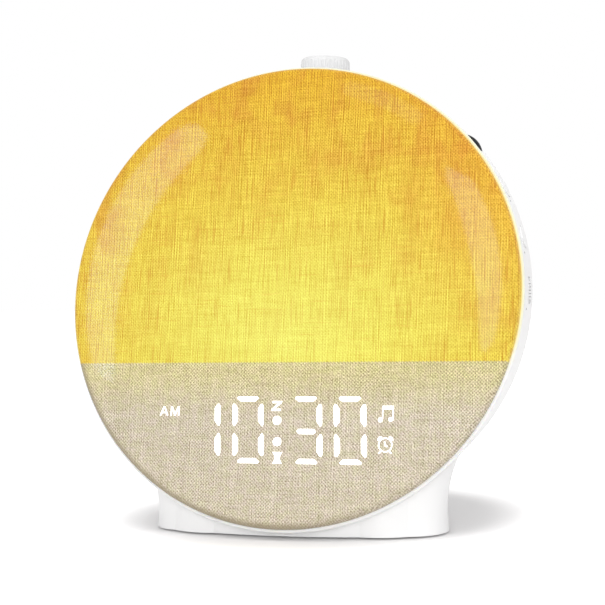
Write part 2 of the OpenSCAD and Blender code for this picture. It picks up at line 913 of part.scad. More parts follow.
module main_board_screws() {
    color(STEEL) on_body() main_board_corners() translate([0, main_board_y, 0])
        rotate([90, 0, 0]) screw(board_screw_r, board_t + 6, 2.2, 1.2);
}

module on_main_board(x, z) {
    on_body() translate([x, main_board_y, main_board_z + z]) children();
}

// Chips: place from the board's middle and lower edge, half width, half height
CHIPS = [[-6, 27, 6, 6], [14, 33, 3, 2.5], [-26, 20, 3, 4]];
chip_t = 1.5;

module processor() {
    color([0.10, 0.10, 0.11]) for (c = CHIPS)
        on_main_board(c[0], c[1]) block([-c[2], c[2]], [-chip_t, 0], [-c[3], c[3]]);
}

// Capacitors: place from the board's middle and lower edge, radius, height
CAPACITORS = [[24, 12, 3.2, 7], [32, 12, 3.2, 7], [24, 24, 2.5, 5.5], [-14, 10, 2.5, 5.5]];

module board_capacitors() {
    color([0.16, 0.20, 0.30]) for (c = CAPACITORS)
        on_main_board(c[0], c[1]) rod_y(c[2], -c[3], 0);
}

module board_connectors() {
    color([0.90, 0.88, 0.80])
        for (x = [-22, -2, 18]) on_main_board(x, main_board_h - 6) difference() {
            block([-5, 5], [-6, 0], [-2.4, 2.4]);
            block([-4.2, 4.2], [-7, -1.4], [-1.6, 1.6]);
        }
}

jack_y0 = main_board_y + board_t;

module power_inlet() {
    color(BLACK) on_body() translate([jack_x, 0, jack_z]) {
        difference() {
            union() {
                rod_y(jack_body_r + 1, jack_y0, back_y);
                rod_y(jack_neck_r, jack_y0, body_depth - 0.4);
            }
            rod_y(jack_r, body_depth - jack_depth, far / 2);
        }
        rod_y(jack_pin_r, body_depth - jack_depth - 0.5, body_depth - 1);
    }
}

cell_back = back_y - 1.2;

module coin_cell_holder() {
    half_w = cell_r + 1.6;
    half_h = cell_r + 1;
    color([0.12, 0.12, 0.13]) on_body() translate([door_x, 0, cell_z]) difference() {
        block([-half_w, half_w], [jack_y0, cell_back], [-half_h, half_h]);
        rod_y(cell_r + 0.3, cell_back - cell_t - 0.3, far / 2);
        block([-3, 3], [cell_back - cell_t - 0.3, far / 2], [0, far / 2]);
    }
}

module coin_cell() {
    color(STEEL) on_body() translate([door_x, 0, cell_z])
        turned() {
            y0 = cell_back - cell_t - 0.3;
            translate([0, y0]) square([cell_r * 0.86, 0.6]);
            translate([0, y0 + 0.6]) square([cell_r, cell_t - 0.6]);
        }
}

module battery_door() {
    color(WHITE) on_body() translate([door_x, 0, door_z]) difference() {
        union() {
            block([-door_w / 2 + plate_gap, door_w / 2 - plate_gap],
                [body_depth - door_t, body_depth],
                [-door_h / 2 + plate_gap, door_h / 2 - plate_gap]);
            block([-door_w / 2 + door_lip + plate_gap, door_w / 2 - door_lip - plate_gap],
                [back_y - 0.5, body_depth - door_t],
                [-door_h / 2 + door_foot + plate_gap, door_h / 2 - door_lip - plate_gap]);
        }
        translate([0, 0, -door_h / 2 + door_foot / 2]) {
            rod_y(door_screw_r + 0.3, back_y, far / 2);
            rod_y(door_head_r + 0.3, body_depth - 0.8, far / 2);
        }
        for (z = [2 : 2 : 8]) translate([0, 0, z])
            block([-5, 5], [body_depth - 0.5, far / 2], [-0.4, 0.4]);
    }
}

module battery_door_screw() {
    color(STEEL) on_body()
        translate([door_x, body_depth - 0.8, door_z - door_h / 2 + door_foot / 2])
            rotate([-90, 0, 0]) screw(door_screw_r, 4.5, door_head_r, 0.7);
}

// ---- Speaker ----

module speaker_grille() {
    rings = floor((speaker_hole_r - grille_hole_r - 0.6) / grille_pitch);
    color(WHITE) speaker_place() difference() {
        rod_y(grille_r - plate_gap, body_depth - grille_t, body_depth);
        rod_y(grille_hole_r, body_depth - grille_t - 1, far / 2);
        for (ring = [1 : rings], i = [0 : 6 * ring - 1])
            rotate([0, i * 60 / ring, 0]) translate([0, 0, ring * grille_pitch])
                rod_y(grille_hole_r, body_depth - grille_t - 1, far / 2);
    }
}

module speaker_frame() {
    flange_y = back_y - speaker_flange_t;
    color([0.20, 0.20, 0.21]) on_body() difference() {
        translate([0, 0, speaker_z]) turned() difference() {
            union() {
                translate([0, flange_y]) square([speaker_r, speaker_flange_t]);
                polygon([[0, basket_y], [magnet_r + 1.5, basket_y],
                    [speaker_hole_r, flange_y], [0, flange_y]]);
            }
            polygon([[0, basket_y - 1], [coil_hole_r, basket_y - 1],
                [coil_hole_r, basket_y + basket_t - 0.2], [magnet_r, basket_y + basket_t - 0.2],
                [speaker_hole_r - basket_t, flange_y], [speaker_hole_r - basket_t, back_y + 1],
                [0, back_y + 1]]);
        }
        speaker_screw_places() rod_y(speaker_screw_r + 0.15, flange_y - 5, back_y + 1);
    }
}

module speaker_magnet() {
    color([0.32, 0.32, 0.34]) speaker_place() turned() {
        translate([0, basket_y - magnet_t]) square([magnet_r, magnet_t]);
        translate([0, basket_y - 0.01]) square([coil_hole_r - 0.6, 4]);
    }
}

module speaker_cone() {
    r0 = coil_hole_r - 0.3;
    r1 = speaker_hole_r - basket_t - 0.3;
    y1 = back_y - speaker_flange_t - 0.2;
    color([0.13, 0.13, 0.14]) speaker_place() turned() {
        polygon([[r0, basket_y + 3], [r0 + 1, basket_y + 3],
            [r1, y1 - 0.2], [r1, y1 + 0.8], [r1 - 0.8, y1 + 0.8], [r0, basket_y + 4.4]]);
    }
}

module speaker_screws() {
    color(STEEL) on_body() speaker_screw_places()
        translate([0, back_y - speaker_flange_t, 0]) rotate([90, 0, 0])
            screw(speaker_screw_r, speaker_flange_t + 0.7, 1.6, 1);
}

// ---- Top knob ----

module at_knob() {
    on_rim(knob_turn, knob_back) children();
}

module top_knob() {
    r = knob_d / 2;
    color(WHITE) at_knob() difference() {
        union() {
            difference() {
                rotate_extrude() {
                    translate([0, knob_foot]) square([r, knob_h - knob_edge_r]);
                    translate([0, knob_foot]) square([r - knob_edge_r, knob_h]);
                    translate([r - knob_edge_r, knob_top - knob_edge_r]) circle(knob_edge_r);
                }
                rod_z(r - knob_wall, knob_foot - 1, knob_top - knob_crown_t);
            }
            rod_z(shaft_r + 2, well_floor + nut_t + knob_travel + 0.8, knob_top - knob_crown_t + 0.4);
        }
        rod_z(shaft_r + run_gap, knob_foot - 1, shaft_top + 0.2);
        for (i = [0 : knob_flutes - 1]) rotate(i * 360 / knob_flutes)
            translate([r + flute_out, 0, 0]) rod_z(flute_r, knob_foot - 1, knob_top + 1);
        translate([0, 0, knob_top - knob_dish + knob_dish_r]) sphere(knob_dish_r);
    }
}

module knob_shaft() {
    color(STEEL) at_knob() {
        rod_z(shaft_r, shaft_foot, shaft_top);
        rod_z(shaft_r + 0.6, cavity_top - 1.1, cavity_top - 0.1);
    }
}

module encoder_plunger() {
    color(BLACK) at_knob() rod_z(shaft_r - 0.4, shaft_foot - 1.1, shaft_foot - 0.1);
}

module encoder_body() {
    half = encoder_w / 2;
    color(STEEL) at_knob() difference() {
        union() {
            block([-half, half], [-half, half], [encoder_top - encoder_h, encoder_top]);
            rod_z(bushing_r, encoder_top - 1, well_floor + nut_t + 0.6);
        }
        rod_z(shaft_r + run_gap, cavity_top - 1, far / 2);
        rod_z(shaft_r + 1, encoder_top - encoder_h + 0.6, cavity_top);
    }
}

module encoder_nut() {
    color([0.75, 0.72, 0.62]) at_knob() difference() {
        translate([0, 0, well_floor]) cylinder(r = bushing_r + 2.2, h = nut_t, $fn = 6);
        rod_z(bushing_r + run_gap, well_floor - 1, well_floor + nut_t + 1);
    }
}

module knob_board() {
    color(BOARD) at_knob()
        block([-knob_board_w / 2, knob_board_w / 2], [-knob_board_d / 2, knob_board_d / 2],
            [encoder_top - encoder_h - board_t, encoder_top - encoder_h]);
}

// ---- Side controls ----

module at_control(i) {
    on_rim(control_turn + i * control_pitch, control_back) children();
}

// Flange and stem that every side button shares
module button_foot() {
    rod_z(button_flange_r, button_flange_rho - button_flange_t, button_flange_rho);
    rod_z(button_stem_r, button_stem_rho, button_flange_rho);
}

// A cap whose top follows the round wall
module flush_button(i) {
    at_control(i) {
        button_foot();
        intersection() {
            rod_z(button_r, button_flange_rho - 0.5, body_r + 5);
            translate([0, -control_back, 0]) rod_y(body_r + button_rise, 0, far / 4);
        }
    }
}

module upper_button() {
    color(WHITE) flush_button(1);
}

module lower_button() {
    color(WHITE) flush_button(2);
}

module black_button() {
    dome_r = (button_r * button_r + dome_rise * dome_rise) / (2 * dome_rise);
    color(BLACK) at_control(0) {
        button_foot();
        rod_z(button_r, button_flange_rho - 0.5, body_r);
        intersection() {
            rod_z(button_r, body_r - 0.5, body_r + 5);
            translate([0, 0, body_r + dome_rise - dome_r]) sphere(dome_r);
        }
    }
}

module ribbed_slider() {
    pitch = (slider_l - 2 * rib_t) / (ribs - 1);
    color(WHITE) at_control(3) {
        block([-slider_flange_l / 2, slider_flange_l / 2],
            [-slider_w / 2 - slider_flange_lip, slider_w / 2 + slider_flange_lip],
            [slider_flange_rho - slider_flange_t, slider_flange_rho]);
        block([-slider_l / 2, slider_l / 2], [-slider_w / 2, slider_w / 2],
            [slider_flange_rho - 0.5, body_r - 0.7]);
        for (i = [0 : ribs - 1]) translate([(i - (ribs - 1) / 2) * pitch, 0, 0])
            block([-rib_t / 2, rib_t / 2], [-slider_w / 2, slider_w / 2],
                [body_r - 1, body_r + 0.3]);
        rod_z(slide_pin_r, side_board_rho + switch_h - 0.4, slider_flange_rho - 0.5);
    }
}

module side_board(k) {
    color(BOARD) on_rim(side_board_turn[k], control_back) difference() {
        block([-side_board_l / 2, side_board_l / 2], side_board_y,
            [side_board_rho - board_t, side_board_rho]);
        for (y = side_post_y) translate([0, y, 0])
            rod_z(board_screw_r + 0.2, side_board_rho - board_t - 1, side_board_rho + 1);
    }
}

module upper_side_board() {
    side_board(0);
}

module lower_side_board() {
    side_board(1);
}

module side_board_screws() {
    color(STEEL) side_boards() for (y = side_post_y)
        translate([0, y, side_board_rho - board_t]) rotate([180, 0, 0])
            screw(board_screw_r, board_t + 5, 2, 1.2);
}

// Offset along a side board of the two controls above it
control_shift = side_board_rho * tan(control_pitch / 2);

module button_switch(k, side) {
    on_rim(side_board_turn[k], control_back) translate([side * control_shift, 0, side_board_rho]) {
        block([-switch_w / 2, switch_w / 2], [-switch_w / 2, switch_w / 2], [0, switch_h]);
        rod_z(1.75, switch_h - 0.5, switch_h + switch_stem);
    }
}

module button_switches() {
    color([0.12, 0.12, 0.13]) {
        button_switch(0, -1);
        button_switch(0, 1);
        button_switch(1, -1);
    }
}

module slide_switch() {
    color(STEEL) on_rim(side_board_turn[1], control_back)
        translate([control_shift, 0, side_board_rho]) difference() {
            block([-slide_switch_l / 2, slide_switch_l / 2],
                [-slide_switch_w / 2, slide_switch_w / 2], [0, switch_h]);
            block([-slide_reach, slide_reach], [-slide_pin_r - 0.4, slide_pin_r + 0.4],
                [switch_h - 1.2, switch_h + 1]);
        }
}

fabric_cover();
front_panel();
light_ring();
front_chassis();
ring_screws();
sunrise_board();
sunrise_leds();
sunrise_board_screws();
display_frame();
lit_segments();
unlit_segments();
display_icon_lenses();
display_board();
display_leds();
rear_housing();
housing_screws();
base_plate();
base_screws();
rubber_feet();
main_board();
main_board_screws();
processor();
board_capacitors();
board_connectors();
power_inlet();
coin_cell_holder();
coin_cell();
battery_door();
battery_door_screw();
speaker_grille();
speaker_frame();
speaker_magnet();
speaker_cone();
speaker_screws();
top_knob();
knob_shaft();
encoder_plunger();
encoder_body();
encoder_nut();
knob_board();
black_button();
upper_button();
lower_button();
ribbed_slider();
upper_side_board();
lower_side_board();
button_switches();
slide_switch();
side_board_screws();
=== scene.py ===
import math

import bmesh
import bpy
from mathutils import Matrix, Vector


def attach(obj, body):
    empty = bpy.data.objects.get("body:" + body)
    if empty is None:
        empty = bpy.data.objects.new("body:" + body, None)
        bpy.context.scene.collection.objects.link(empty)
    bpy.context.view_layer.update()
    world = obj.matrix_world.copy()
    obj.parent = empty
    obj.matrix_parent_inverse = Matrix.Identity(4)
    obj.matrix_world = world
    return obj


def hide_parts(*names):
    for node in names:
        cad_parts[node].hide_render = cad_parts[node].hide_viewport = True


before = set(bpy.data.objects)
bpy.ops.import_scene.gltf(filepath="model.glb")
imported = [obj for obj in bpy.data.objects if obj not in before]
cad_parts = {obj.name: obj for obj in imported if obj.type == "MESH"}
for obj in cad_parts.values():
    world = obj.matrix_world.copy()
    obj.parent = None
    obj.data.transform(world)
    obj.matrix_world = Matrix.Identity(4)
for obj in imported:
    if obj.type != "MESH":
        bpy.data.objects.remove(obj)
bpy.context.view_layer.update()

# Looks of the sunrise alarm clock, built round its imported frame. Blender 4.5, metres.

MM = 0.001

# ---- The front, as the frame has it: x to the right, v up the front, s behind the linen ----

FACE_LEAN = math.radians(12)
FACE_CENTRE = Vector((0, -22.84864, 92.7)) * MM
FACE_NORMAL = Vector((0, -math.cos(FACE_LEAN), math.sin(FACE_LEAN)))

# Linen: its radius, the radius of its rolled edge, its depth and its thickness, in mm
LINEN_R = 90.0
LINEN_EDGE_R = 2.2
LINEN_DEPTH = 3.2
LINEN_T = 0.8

# Height of the line between the lit part and the plain part, in mm
DIVIDER = -27.0


def on_face(x, v, s=0.0):
    """The point in the frame, in metres, of a place on the front in mm."""
    y = s * math.cos(FACE_LEAN) + v * math.sin(FACE_LEAN)
    z = v * math.cos(FACE_LEAN) - s * math.sin(FACE_LEAN)
    return FACE_CENTRE + Vector((x, y, z)) * MM


# ---- Camera: its distance and shifts in metres, its lens and sensor in mm ----

CAMERA_YAW = math.radians(17.936)
CAMERA_PITCH = math.radians(1.3785)
CAMERA_ROLL = math.radians(1.5)
CAMERA_DISTANCE = 0.585
CAMERA_SIDE = 0.0062177
CAMERA_RISE = -0.0038588
CAMERA_LENS = 90.835
CAMERA_SENSOR = 36


def make_camera():
    """The camera at the viewing angle, a little above the front's middle and to its right."""
    ahead = Vector((-math.sin(CAMERA_YAW) * math.cos(CAMERA_PITCH),
                    math.cos(CAMERA_YAW) * math.cos(CAMERA_PITCH),
                    -math.sin(CAMERA_PITCH)))
    level = Vector((math.cos(CAMERA_YAW), math.sin(CAMERA_YAW), 0))
    upright = level.cross(ahead)
    right = level * math.cos(CAMERA_ROLL) - upright * math.sin(CAMERA_ROLL)
    up = upright * math.cos(CAMERA_ROLL) + level * math.sin(CAMERA_ROLL)
    place = FACE_CENTRE - ahead * CAMERA_DISTANCE + right * CAMERA_SIDE + up * CAMERA_RISE
    data = bpy.data.cameras.new("camera")
    data.sensor_width = CAMERA_SENSOR
    data.lens = CAMERA_LENS
    camera = bpy.data.objects.new("camera", data)
    bpy.context.scene.collection.objects.link(camera)
    turn = Matrix((right, up, -ahead)).transposed().to_4x4()
    camera.matrix_world = Matrix.Translation(place) @ turn
    bpy.context.scene.camera = camera
    return place


# ---- Node trees ----

def set_inputs(tree, node, inputs):
    """Sets a node's inputs: a socket is linked, and a value is set."""
    for key, value in inputs.items():
        if isinstance(value, bpy.types.NodeSocket):
            tree.links.new(value, node.inputs[key])
        else:
            node.inputs[key].default_value = value


def add(tree, kind, inputs=None, **settings):
    """A new shader node with its settings and inputs."""
    node = tree.nodes.new("ShaderNode" + kind)
    for name, value in settings.items():
        setattr(node, name, value)
    set_inputs(tree, node, inputs or {})
    return node


def maths(tree, operation, a, b=0.0):
    return add(tree, "Math", {0: a, 1: b}, operation=operation).outputs[0]


def times(tree, a, b):
    return maths(tree, "MULTIPLY", a, b)


def mix(tree, factor, a, b, blend_type="MIX"):
    """Two colours mixed by a factor; a colour is a socket or (r, g, b)."""
    a, b = (c if isinstance(c, bpy.types.NodeSocket) else (*c, 1) for c in (a, b))
    node = add(tree, "Mix", {0: factor, 6: a, 7: b}, data_type="RGBA", blend_type=blend_type)
    return node.outputs[2]


def shaded(tree, colour, factor, low, high):
    """A colour times low where the factor is 0 and times high where it is 1."""
    return mix(tree, 1.0, colour, mix(tree, factor, low, high), "MULTIPLY")


def spread(tree, value, low, high, to_low=0.0, to_high=1.0, smooth=True):
    """value taken from the range low..high to the range to_low..to_high."""
    node = add(tree, "MapRange", {"Value": value, "From Min": low, "From Max": high,
                                  "To Min": to_low, "To Max": to_high})
    node.interpolation_type = "SMOOTHSTEP" if smooth else "LINEAR"
    return node.outputs["Result"]


def swing(tree, value, low, high, reach=1.0):
    """value taken from the range low..high to -reach..reach in a straight line."""
    return spread(tree, value, low, high, -reach, reach, smooth=False)


def noise(tree, place, scale, detail=2, roughness=0.5):
    """Noise of 0 to 1 with about scale features to the millimetre."""
    return add(tree, "TexNoise", {"Vector": place, "Scale": scale, "Detail": detail,
                                  "Roughness": roughness}).outputs["Fac"]


def scaled(tree, place, scale):
    return add(tree, "Mapping", {"Vector": place, "Scale": scale}).outputs[0]


def threads(tree, place, across, up, detail=2, roughness=0.5):
    """Noise drawn out into threads: its features to the millimetre across the front and up it."""
    return noise(tree, scaled(tree, place, (across, 1, up)), 1.0, detail, roughness)


def waves(tree, *terms):
    """Sine of the sum of places over their repeats. A negative repeat leans it the other way."""
    turns = None
    for place, repeat in terms:
        turn = maths(tree, "DIVIDE", place, repeat)
        turns = turn if turns is None else maths(tree, "ADD", turns, turn)
    return maths(tree, "SINE", times(tree, turns, 2 * math.pi))


def distance(tree, x, v):
    """Distance of (x, v) from the middle."""
    place = add(tree, "CombineXYZ", {0: x, 1: v}).outputs[0]
    return add(tree, "VectorMath", {0: place}, operation="LENGTH").outputs["Value"]


def ramp(tree, value, stops):
    """A colour ramp from (position, (r, g, b)) stops."""
    node = add(tree, "ValToRGB", {"Fac": value})
    elements = node.color_ramp.elements
    while len(elements) < len(stops):
        elements.new(0.5)
    for element, (position, colour) in zip(elements, stops):
        element.position = position
        element.color = (*colour, 1)
    return node.outputs["Color"]


def in_mm(tree):
    """Object coordinates in millimetres."""
    return scaled(tree, add(tree, "TexCoord").outputs["Object"], (1 / MM,) * 3)


def in_face(tree):
    """Object coordinates in the front's own directions, in millimetres: x, s, v."""
    place = add(tree, "TexCoord").outputs["Object"]
    return add(tree, "Mapping", {"Vector": place, "Location": FACE_CENTRE,
                                 "Rotation": (-FACE_LEAN, 0, 0), "Scale": (MM,) * 3},
               vector_type="TEXTURE").outputs[0]


def bump(tree, height, depth):
    """A bump of that depth in mm."""
    return add(tree, "Bump", {"Height": height, "Distance": depth * MM, "Strength": 1.0}).outputs[0]


def material(name):
    """A new material, its tree and its Principled shader."""
    made = bpy.data.materials.new(name)
    made.use_nodes = True
    return made, made.node_tree, made.node_tree.nodes["Principled BSDF"]


def darker(colour, share):
    return tuple(c * share for c in colour)


# Ranges of noise: nearly all that it reaches, most of it, and its middle
NOISE_WIDE = (0.2, 0.8)
NOISE_MOST = (0.3, 0.7)
NOISE_MIDDLE = (0.35, 0.65)


def uneven(tree, value, roughness, share):
    """A roughness that noise varies by a share of itself either way."""
    return spread(tree, value, *NOISE_WIDE, roughness * (1 - share), min(1, roughness * (1 + share)))


# ---- Materials of one kind each: scales are features to the millimetre, and depths are in mm ----

MOTTLE_SCALE = 0.05
MOULDED_UNEVEN = 0.15
BRUSH_SCALE = 1.5
BRUSH_DEPTH = 0.01
BRUSH_SHADE = 0.8
METAL_UNEVEN = 0.3
TRACE_SCALE = 0.28
TRACE_REPEAT = 0.12
TRACE_EDGE = (0.05, 0.07)
TRACE_DEPTH = 0.03
GLOW_SCALE = 2.4
GLOW_SHADE = 0.96


def moulded(name, colour, roughness, grain=2.2, depth=0.02, mottle=0.03, specular=0.5):
    """Moulded plastic, paint or rubber: a fine grain, a faint mottle and uneven gloss."""
    made, tree, shader = material(name)
    place = in_mm(tree)
    cloud = spread(tree, noise(tree, place, MOTTLE_SCALE, 3), *NOISE_MOST)
    fine = noise(tree, place, grain, 4)
    set_inputs(tree, shader, {
        "Base Color": mix(tree, cloud, darker(colour, 1 - 2 * mottle), colour),
        "Roughness": uneven(tree, fine, roughness, MOULDED_UNEVEN),
        "Normal": bump(tree, fine, depth),
        "Specular IOR Level": specular,
    })
    return made


def metal(name, colour, roughness, brush=(0.3, 0.3, 6)):
    """Metal with fine brush marks, drawn out by brush along x, y and z."""
    made, tree, shader = material(name)
    marks = noise(tree, scaled(tree, in_mm(tree), brush), BRUSH_SCALE, 4)
    set_inputs(tree, shader, {
        "Base Color": mix(tree, marks, darker(colour, BRUSH_SHADE), colour),
        "Roughness": uneven(tree, marks, roughness, METAL_UNEVEN),
        "Normal": bump(tree, marks, BRUSH_DEPTH),
        "Metallic": 1.0,
    })
    return made


def board(name, colour, trace):
    """Circuit board: solder mask with copper runs that show faintly."""
    made, tree, shader = material(name)
    cells = add(tree, "TexVoronoi", {"Vector": in_mm(tree), "Scale": TRACE_SCALE},
                distance="CHEBYCHEV", feature="F1").outputs["Distance"]
    run = spread(tree, maths(tree, "PINGPONG", cells, TRACE_REPEAT), *TRACE_EDGE)
    set_inputs(tree, shader, {
        "Base Color": mix(tree, run, colour, trace),
        "Normal": bump(tree, run, TRACE_DEPTH),
        "Roughness": 0.35,
    })
    return made


def glowing(name, colour, strength):
    """A lit lens seen through linen: an even glow with the threads just showing."""
    made, tree, shader = material(name)
    grain = noise(tree, in_mm(tree), GLOW_SCALE, 3)
    tint = mix(tree, spread(tree, grain, *NOISE_MIDDLE), darker(colour, GLOW_SHADE), colour)
    set_inputs(tree, shader, {
        "Base Color": tint,
        "Emission Color": tint,
        "Emission Strength": strength,
        "Roughness": 0.7,
    })
    return made


# ---- Light ring ----

# Heights over which its glow begins, depth behind the linen over which the glow fades, and the
# heights and radii over which it pales, in mm
RING_WARM = (DIVIDER - 6, DIVIDER + 12)
RING_FADE = (3.3, 4.2)
RING_PALER = (40, 130)
RING_EDGE = (89.9, 90.7)
# Colours, each from the full glow to the pale one, then the range of its plain colour
RING_TINTS = ((0.64, 0.50, 0.10), (0.58, 0.56, 0.32))
RING_GLOWS = ((0.24, 0.24, 0.12), (0.22, 0.24, 0.30))
RING_PLAIN = ((0.82, 0.82, 0.82), (0.86, 0.86, 0.86))
RING_SCALE = 1.6
RING_DEPTH = 0.01
BLACK = (0, 0, 0)


def ring_material():
    """Milky ring that carries the lamp's warm light above the divider and is plain below it."""
    made, tree, shader = material("glowing_ring")
    place = in_face(tree)
    x, s, v = add(tree, "SeparateXYZ", {0: place}).outputs
    warm = times(tree, spread(tree, v, *RING_WARM), spread(tree, s, *RING_FADE, 1, 0))
    paler = maths(tree, "MAXIMUM", spread(tree, v, *RING_PALER),
                  spread(tree, distance(tree, x, v), *RING_EDGE))
    grain = noise(tree, place, RING_SCALE, 3)
    plain = mix(tree, grain, *RING_PLAIN)
    set_inputs(tree, shader, {
        "Base Color": mix(tree, warm, plain, mix(tree, paler, *RING_TINTS)),
        "Emission Color": mix(tree, warm, BLACK, mix(tree, paler, *RING_GLOWS)),
        "Emission Strength": 1.0,
        "Roughness": 0.3,
        "Subsurface Weight": 0.2,
        "Subsurface Radius": (0.003, 0.002, 0.001),
        "Normal": bump(tree, grain, RING_DEPTH),
    })
    return made


# ---- Linen ----

# Repeats of the weave in mm: its twill across and up, and two sorts of upright thread
TWILL_X = 1.32
TWILL_V = 1.31
THREAD = 1.03
THIN_THREAD = 0.86

# How far the weave wanders sideways in mm, and how often to the millimetre
TWILL_DRIFT = 0.8
TWILL_DRIFT_SCALE = 0.035
THREAD_DRIFT = 1.0
THREAD_DRIFT_SCALE = (0.12, 0.012)

# Scales of the weave's noise: features to the millimetre, or those across the front and up it
GRAIN = 1.7
WARP = (2.1, 0.09)
WEFT = (0.08, 1.9)
THREAD_SHARE = (0.8, 0.13)
THIN_THREAD_SHARE = (0.91, 0.143)
CROSSING = 0.05
TINGE = 0.35
WARP_SLUB = (2.4, 0.06)
WEFT_SLUB = (0.05, 1.3)
UPRIGHT_BANDS = (0.22, 0.012)
LEVEL_BANDS = (0.012, 0.3)
PATCHES = (0.07, 0.05)
# Roughness of the noise of threads, and of the noise of slubs, tinge and patches
COARSE = 0.7
LUMPY = 0.6
# Range of its noise over which each of these comes in
THREAD_SHOWN = (0.35, 0.62)
THIN_THREAD_SHOWN = (0.38, 0.64)
WARP_SLUB_SHOWN = (0.58, 0.66)
WEFT_SLUB_SHOWN = (0.58, 0.72)
BANDS_SHOWN = (0.75, 1.25)
PATCHES_SHOWN = (0.44, 0.70)
# Share of the twill lines in the dots, and the least and most that the lines across have
LINE_SHARE = 0.8
ACROSS_SHARE = (0.15, 0.75)

# How much each part of the weave counts, and the sum that is fully dark or fully light
PLAIN_WEAVE = {
    "dots": 0.24, "grain": 0.40, "warp": 0.12, "weft": 0.14, "thread": 0.12, "thin_thread": 0.12,
}
PLAIN_REACH = 0.56
LIT_WEAVE = {
    "dots": 0.15, "grain": 0.30, "warp": 0.20, "weft": 0.20, "thread": 0.24, "thin_thread": 0.28,
}
LIT_WEAVE_REACH = 0.6

# What a colour is multiplied by where each pattern is dark, and where it is light
TINGE_SHADES = ((0.97, 1.0, 0.92), (1.03, 1.0, 1.08))
PLAIN_BAND_SHADES = ((0.95, 0.945, 0.93), (1.05, 1.055, 1.07))
PLAIN_WEAVE_SHADES = ((0.42, 0.38, 0.31), (1.50, 1.56, 1.68))
WARM_SIDE_SHADES = ((1.0, 1.0, 1.0), (1.0, 0.86, 0.86))
LIT_BAND_SHADES = ((0.965, 0.94, 0.90), (1.035, 1.06, 1.10))
LIT_WEAVE_SHADES = ((0.66, 0.52, 0.0), (1.26, 1.44, 2.1))

# Plain part: its colours, and the heights over which the lamp warms it. Its rim has painted shade
# over RIM_WIDTH, and the shade comes in over RIM_SIDE from the right to the left.
PLAIN_LINEN = (0.538, 0.471, 0.347)
WARMED_LINEN = (0.565, 0.492, 0.246)
WARMED = (DIVIDER - 24, DIVIDER)
PLAIN_SLUB = (0.36, 0.30, 0.18)
PLAIN_SLUB_SHARE = 0.2
# Colour of the painted shade at the linen's rim
PAINTED_RIM_SHADE = (0.30, 0.25, 0.16)
RIM_WIDTH = (LINEN_R - 3.4, LINEN_R - 0.6)
RIM_SIDE = (60.0, -5.0)
RIM_SHARE = 0.75

# Lit part: an oval glow round the height LIT_MIDDLE, where a mm sideways counts as LIT_SIDEWAYS
# of one up the front. Ranges of x, v and of the distance from the glow's middle are in mm.
LIT_MIDDLE = -22.0
LIT_SIDEWAYS = 0.7
LIT_REACH = 108.0
LIT_STOPS = (
    (0.0, (0.945, 0.885, 0.150)),
    (0.26, (0.905, 0.785, 0.106)),
    (0.55, (0.866, 0.635, 0.060)),
    (1.0, (0.82, 0.455, 0.020)),
)
PATCH_AWAY = (20, 110)
PATCH_SHARE = (0.1, 0.75)
CONTRAST_AWAY = (15.0, 90.0)
LIT_CONTRAST = (0.55, 1.25)
WARM_SIDE_X = (34.0, 74.0)
WARM_SIDE_V = (-20.0, 30.0)
ORANGE = (0.74, 0.32, 0.03)
LIT_SLUB = (0.62, 0.25, 0.01)
LIT_SLUB_SHARE = 0.55
LIT_WEFT_SHARE = 0.28
LIT_REFLECTED = 0.40
LIT_SHINING = 0.5

# Half the height of the border between the two parts, and how far the twill frays it, in mm
BORDER = 0.35
BORDER_FRAY = 0.15

# Depth of the weave's relief in mm, how much of it a thick warp thread adds, and the roughness
# where the weave is dark and where it is light
WEAVE_DEPTH = 0.06
SLUB_RELIEF = 0.4
LINEN_ROUGHNESS = (0.75, 0.9)


def weave_parts(tree, place, x, v):
    """Parts of the weave, each about -1 to 1. The dots are twill lines that fainter ones break."""
    twill_drift = swing(tree, noise(tree, place, TWILL_DRIFT_SCALE), *NOISE_WIDE, TWILL_DRIFT)
    thread_drift = swing(tree, threads(tree, place, *THREAD_DRIFT_SCALE), *NOISE_WIDE, THREAD_DRIFT)
    x_twill = maths(tree, "ADD", x, twill_drift)
    x_thread = maths(tree, "ADD", x, thread_drift)
    line = waves(tree, (x_twill, TWILL_X), (v, TWILL_V))
    across = waves(tree, (x_twill, TWILL_X), (v, -TWILL_V))
    crossed = spread(tree, noise(tree, place, CROSSING), *NOISE_MIDDLE, *ACROSS_SHARE)
    thick_share = spread(tree, threads(tree, place, *THREAD_SHARE), *THREAD_SHOWN)
    thin_share = spread(tree, threads(tree, place, *THIN_THREAD_SHARE), *THIN_THREAD_SHOWN)
    return {
        "line": line,
        "dots": maths(tree, "ADD", times(tree, line, LINE_SHARE), times(tree, across, crossed)),
        "grain": swing(tree, noise(tree, place, GRAIN, roughness=COARSE), *NOISE_MOST),
        "warp": swing(tree, threads(tree, place, *WARP, roughness=COARSE), *NOISE_MOST),
        "weft": swing(tree, threads(tree, place, *WEFT, roughness=COARSE), *NOISE_MOST),
        "thread": times(tree, waves(tree, (x_thread, THREAD)), thick_share),
        "thin_thread": times(tree, waves(tree, (x_thread, THIN_THREAD)), thin_share),
    }


def woven(tree, parts, weights, reach, contrast=1.0):
    """The weave from its weighted parts, 0 where it is darkest and 1 where it is lightest."""
    made = None
    for name, weight in weights.items():
        term = times(tree, parts[name], weight)
        made = term if made is None else maths(tree, "ADD", made, term)
    return spread(tree, times(tree, made, contrast), -reach, reach, smooth=False)


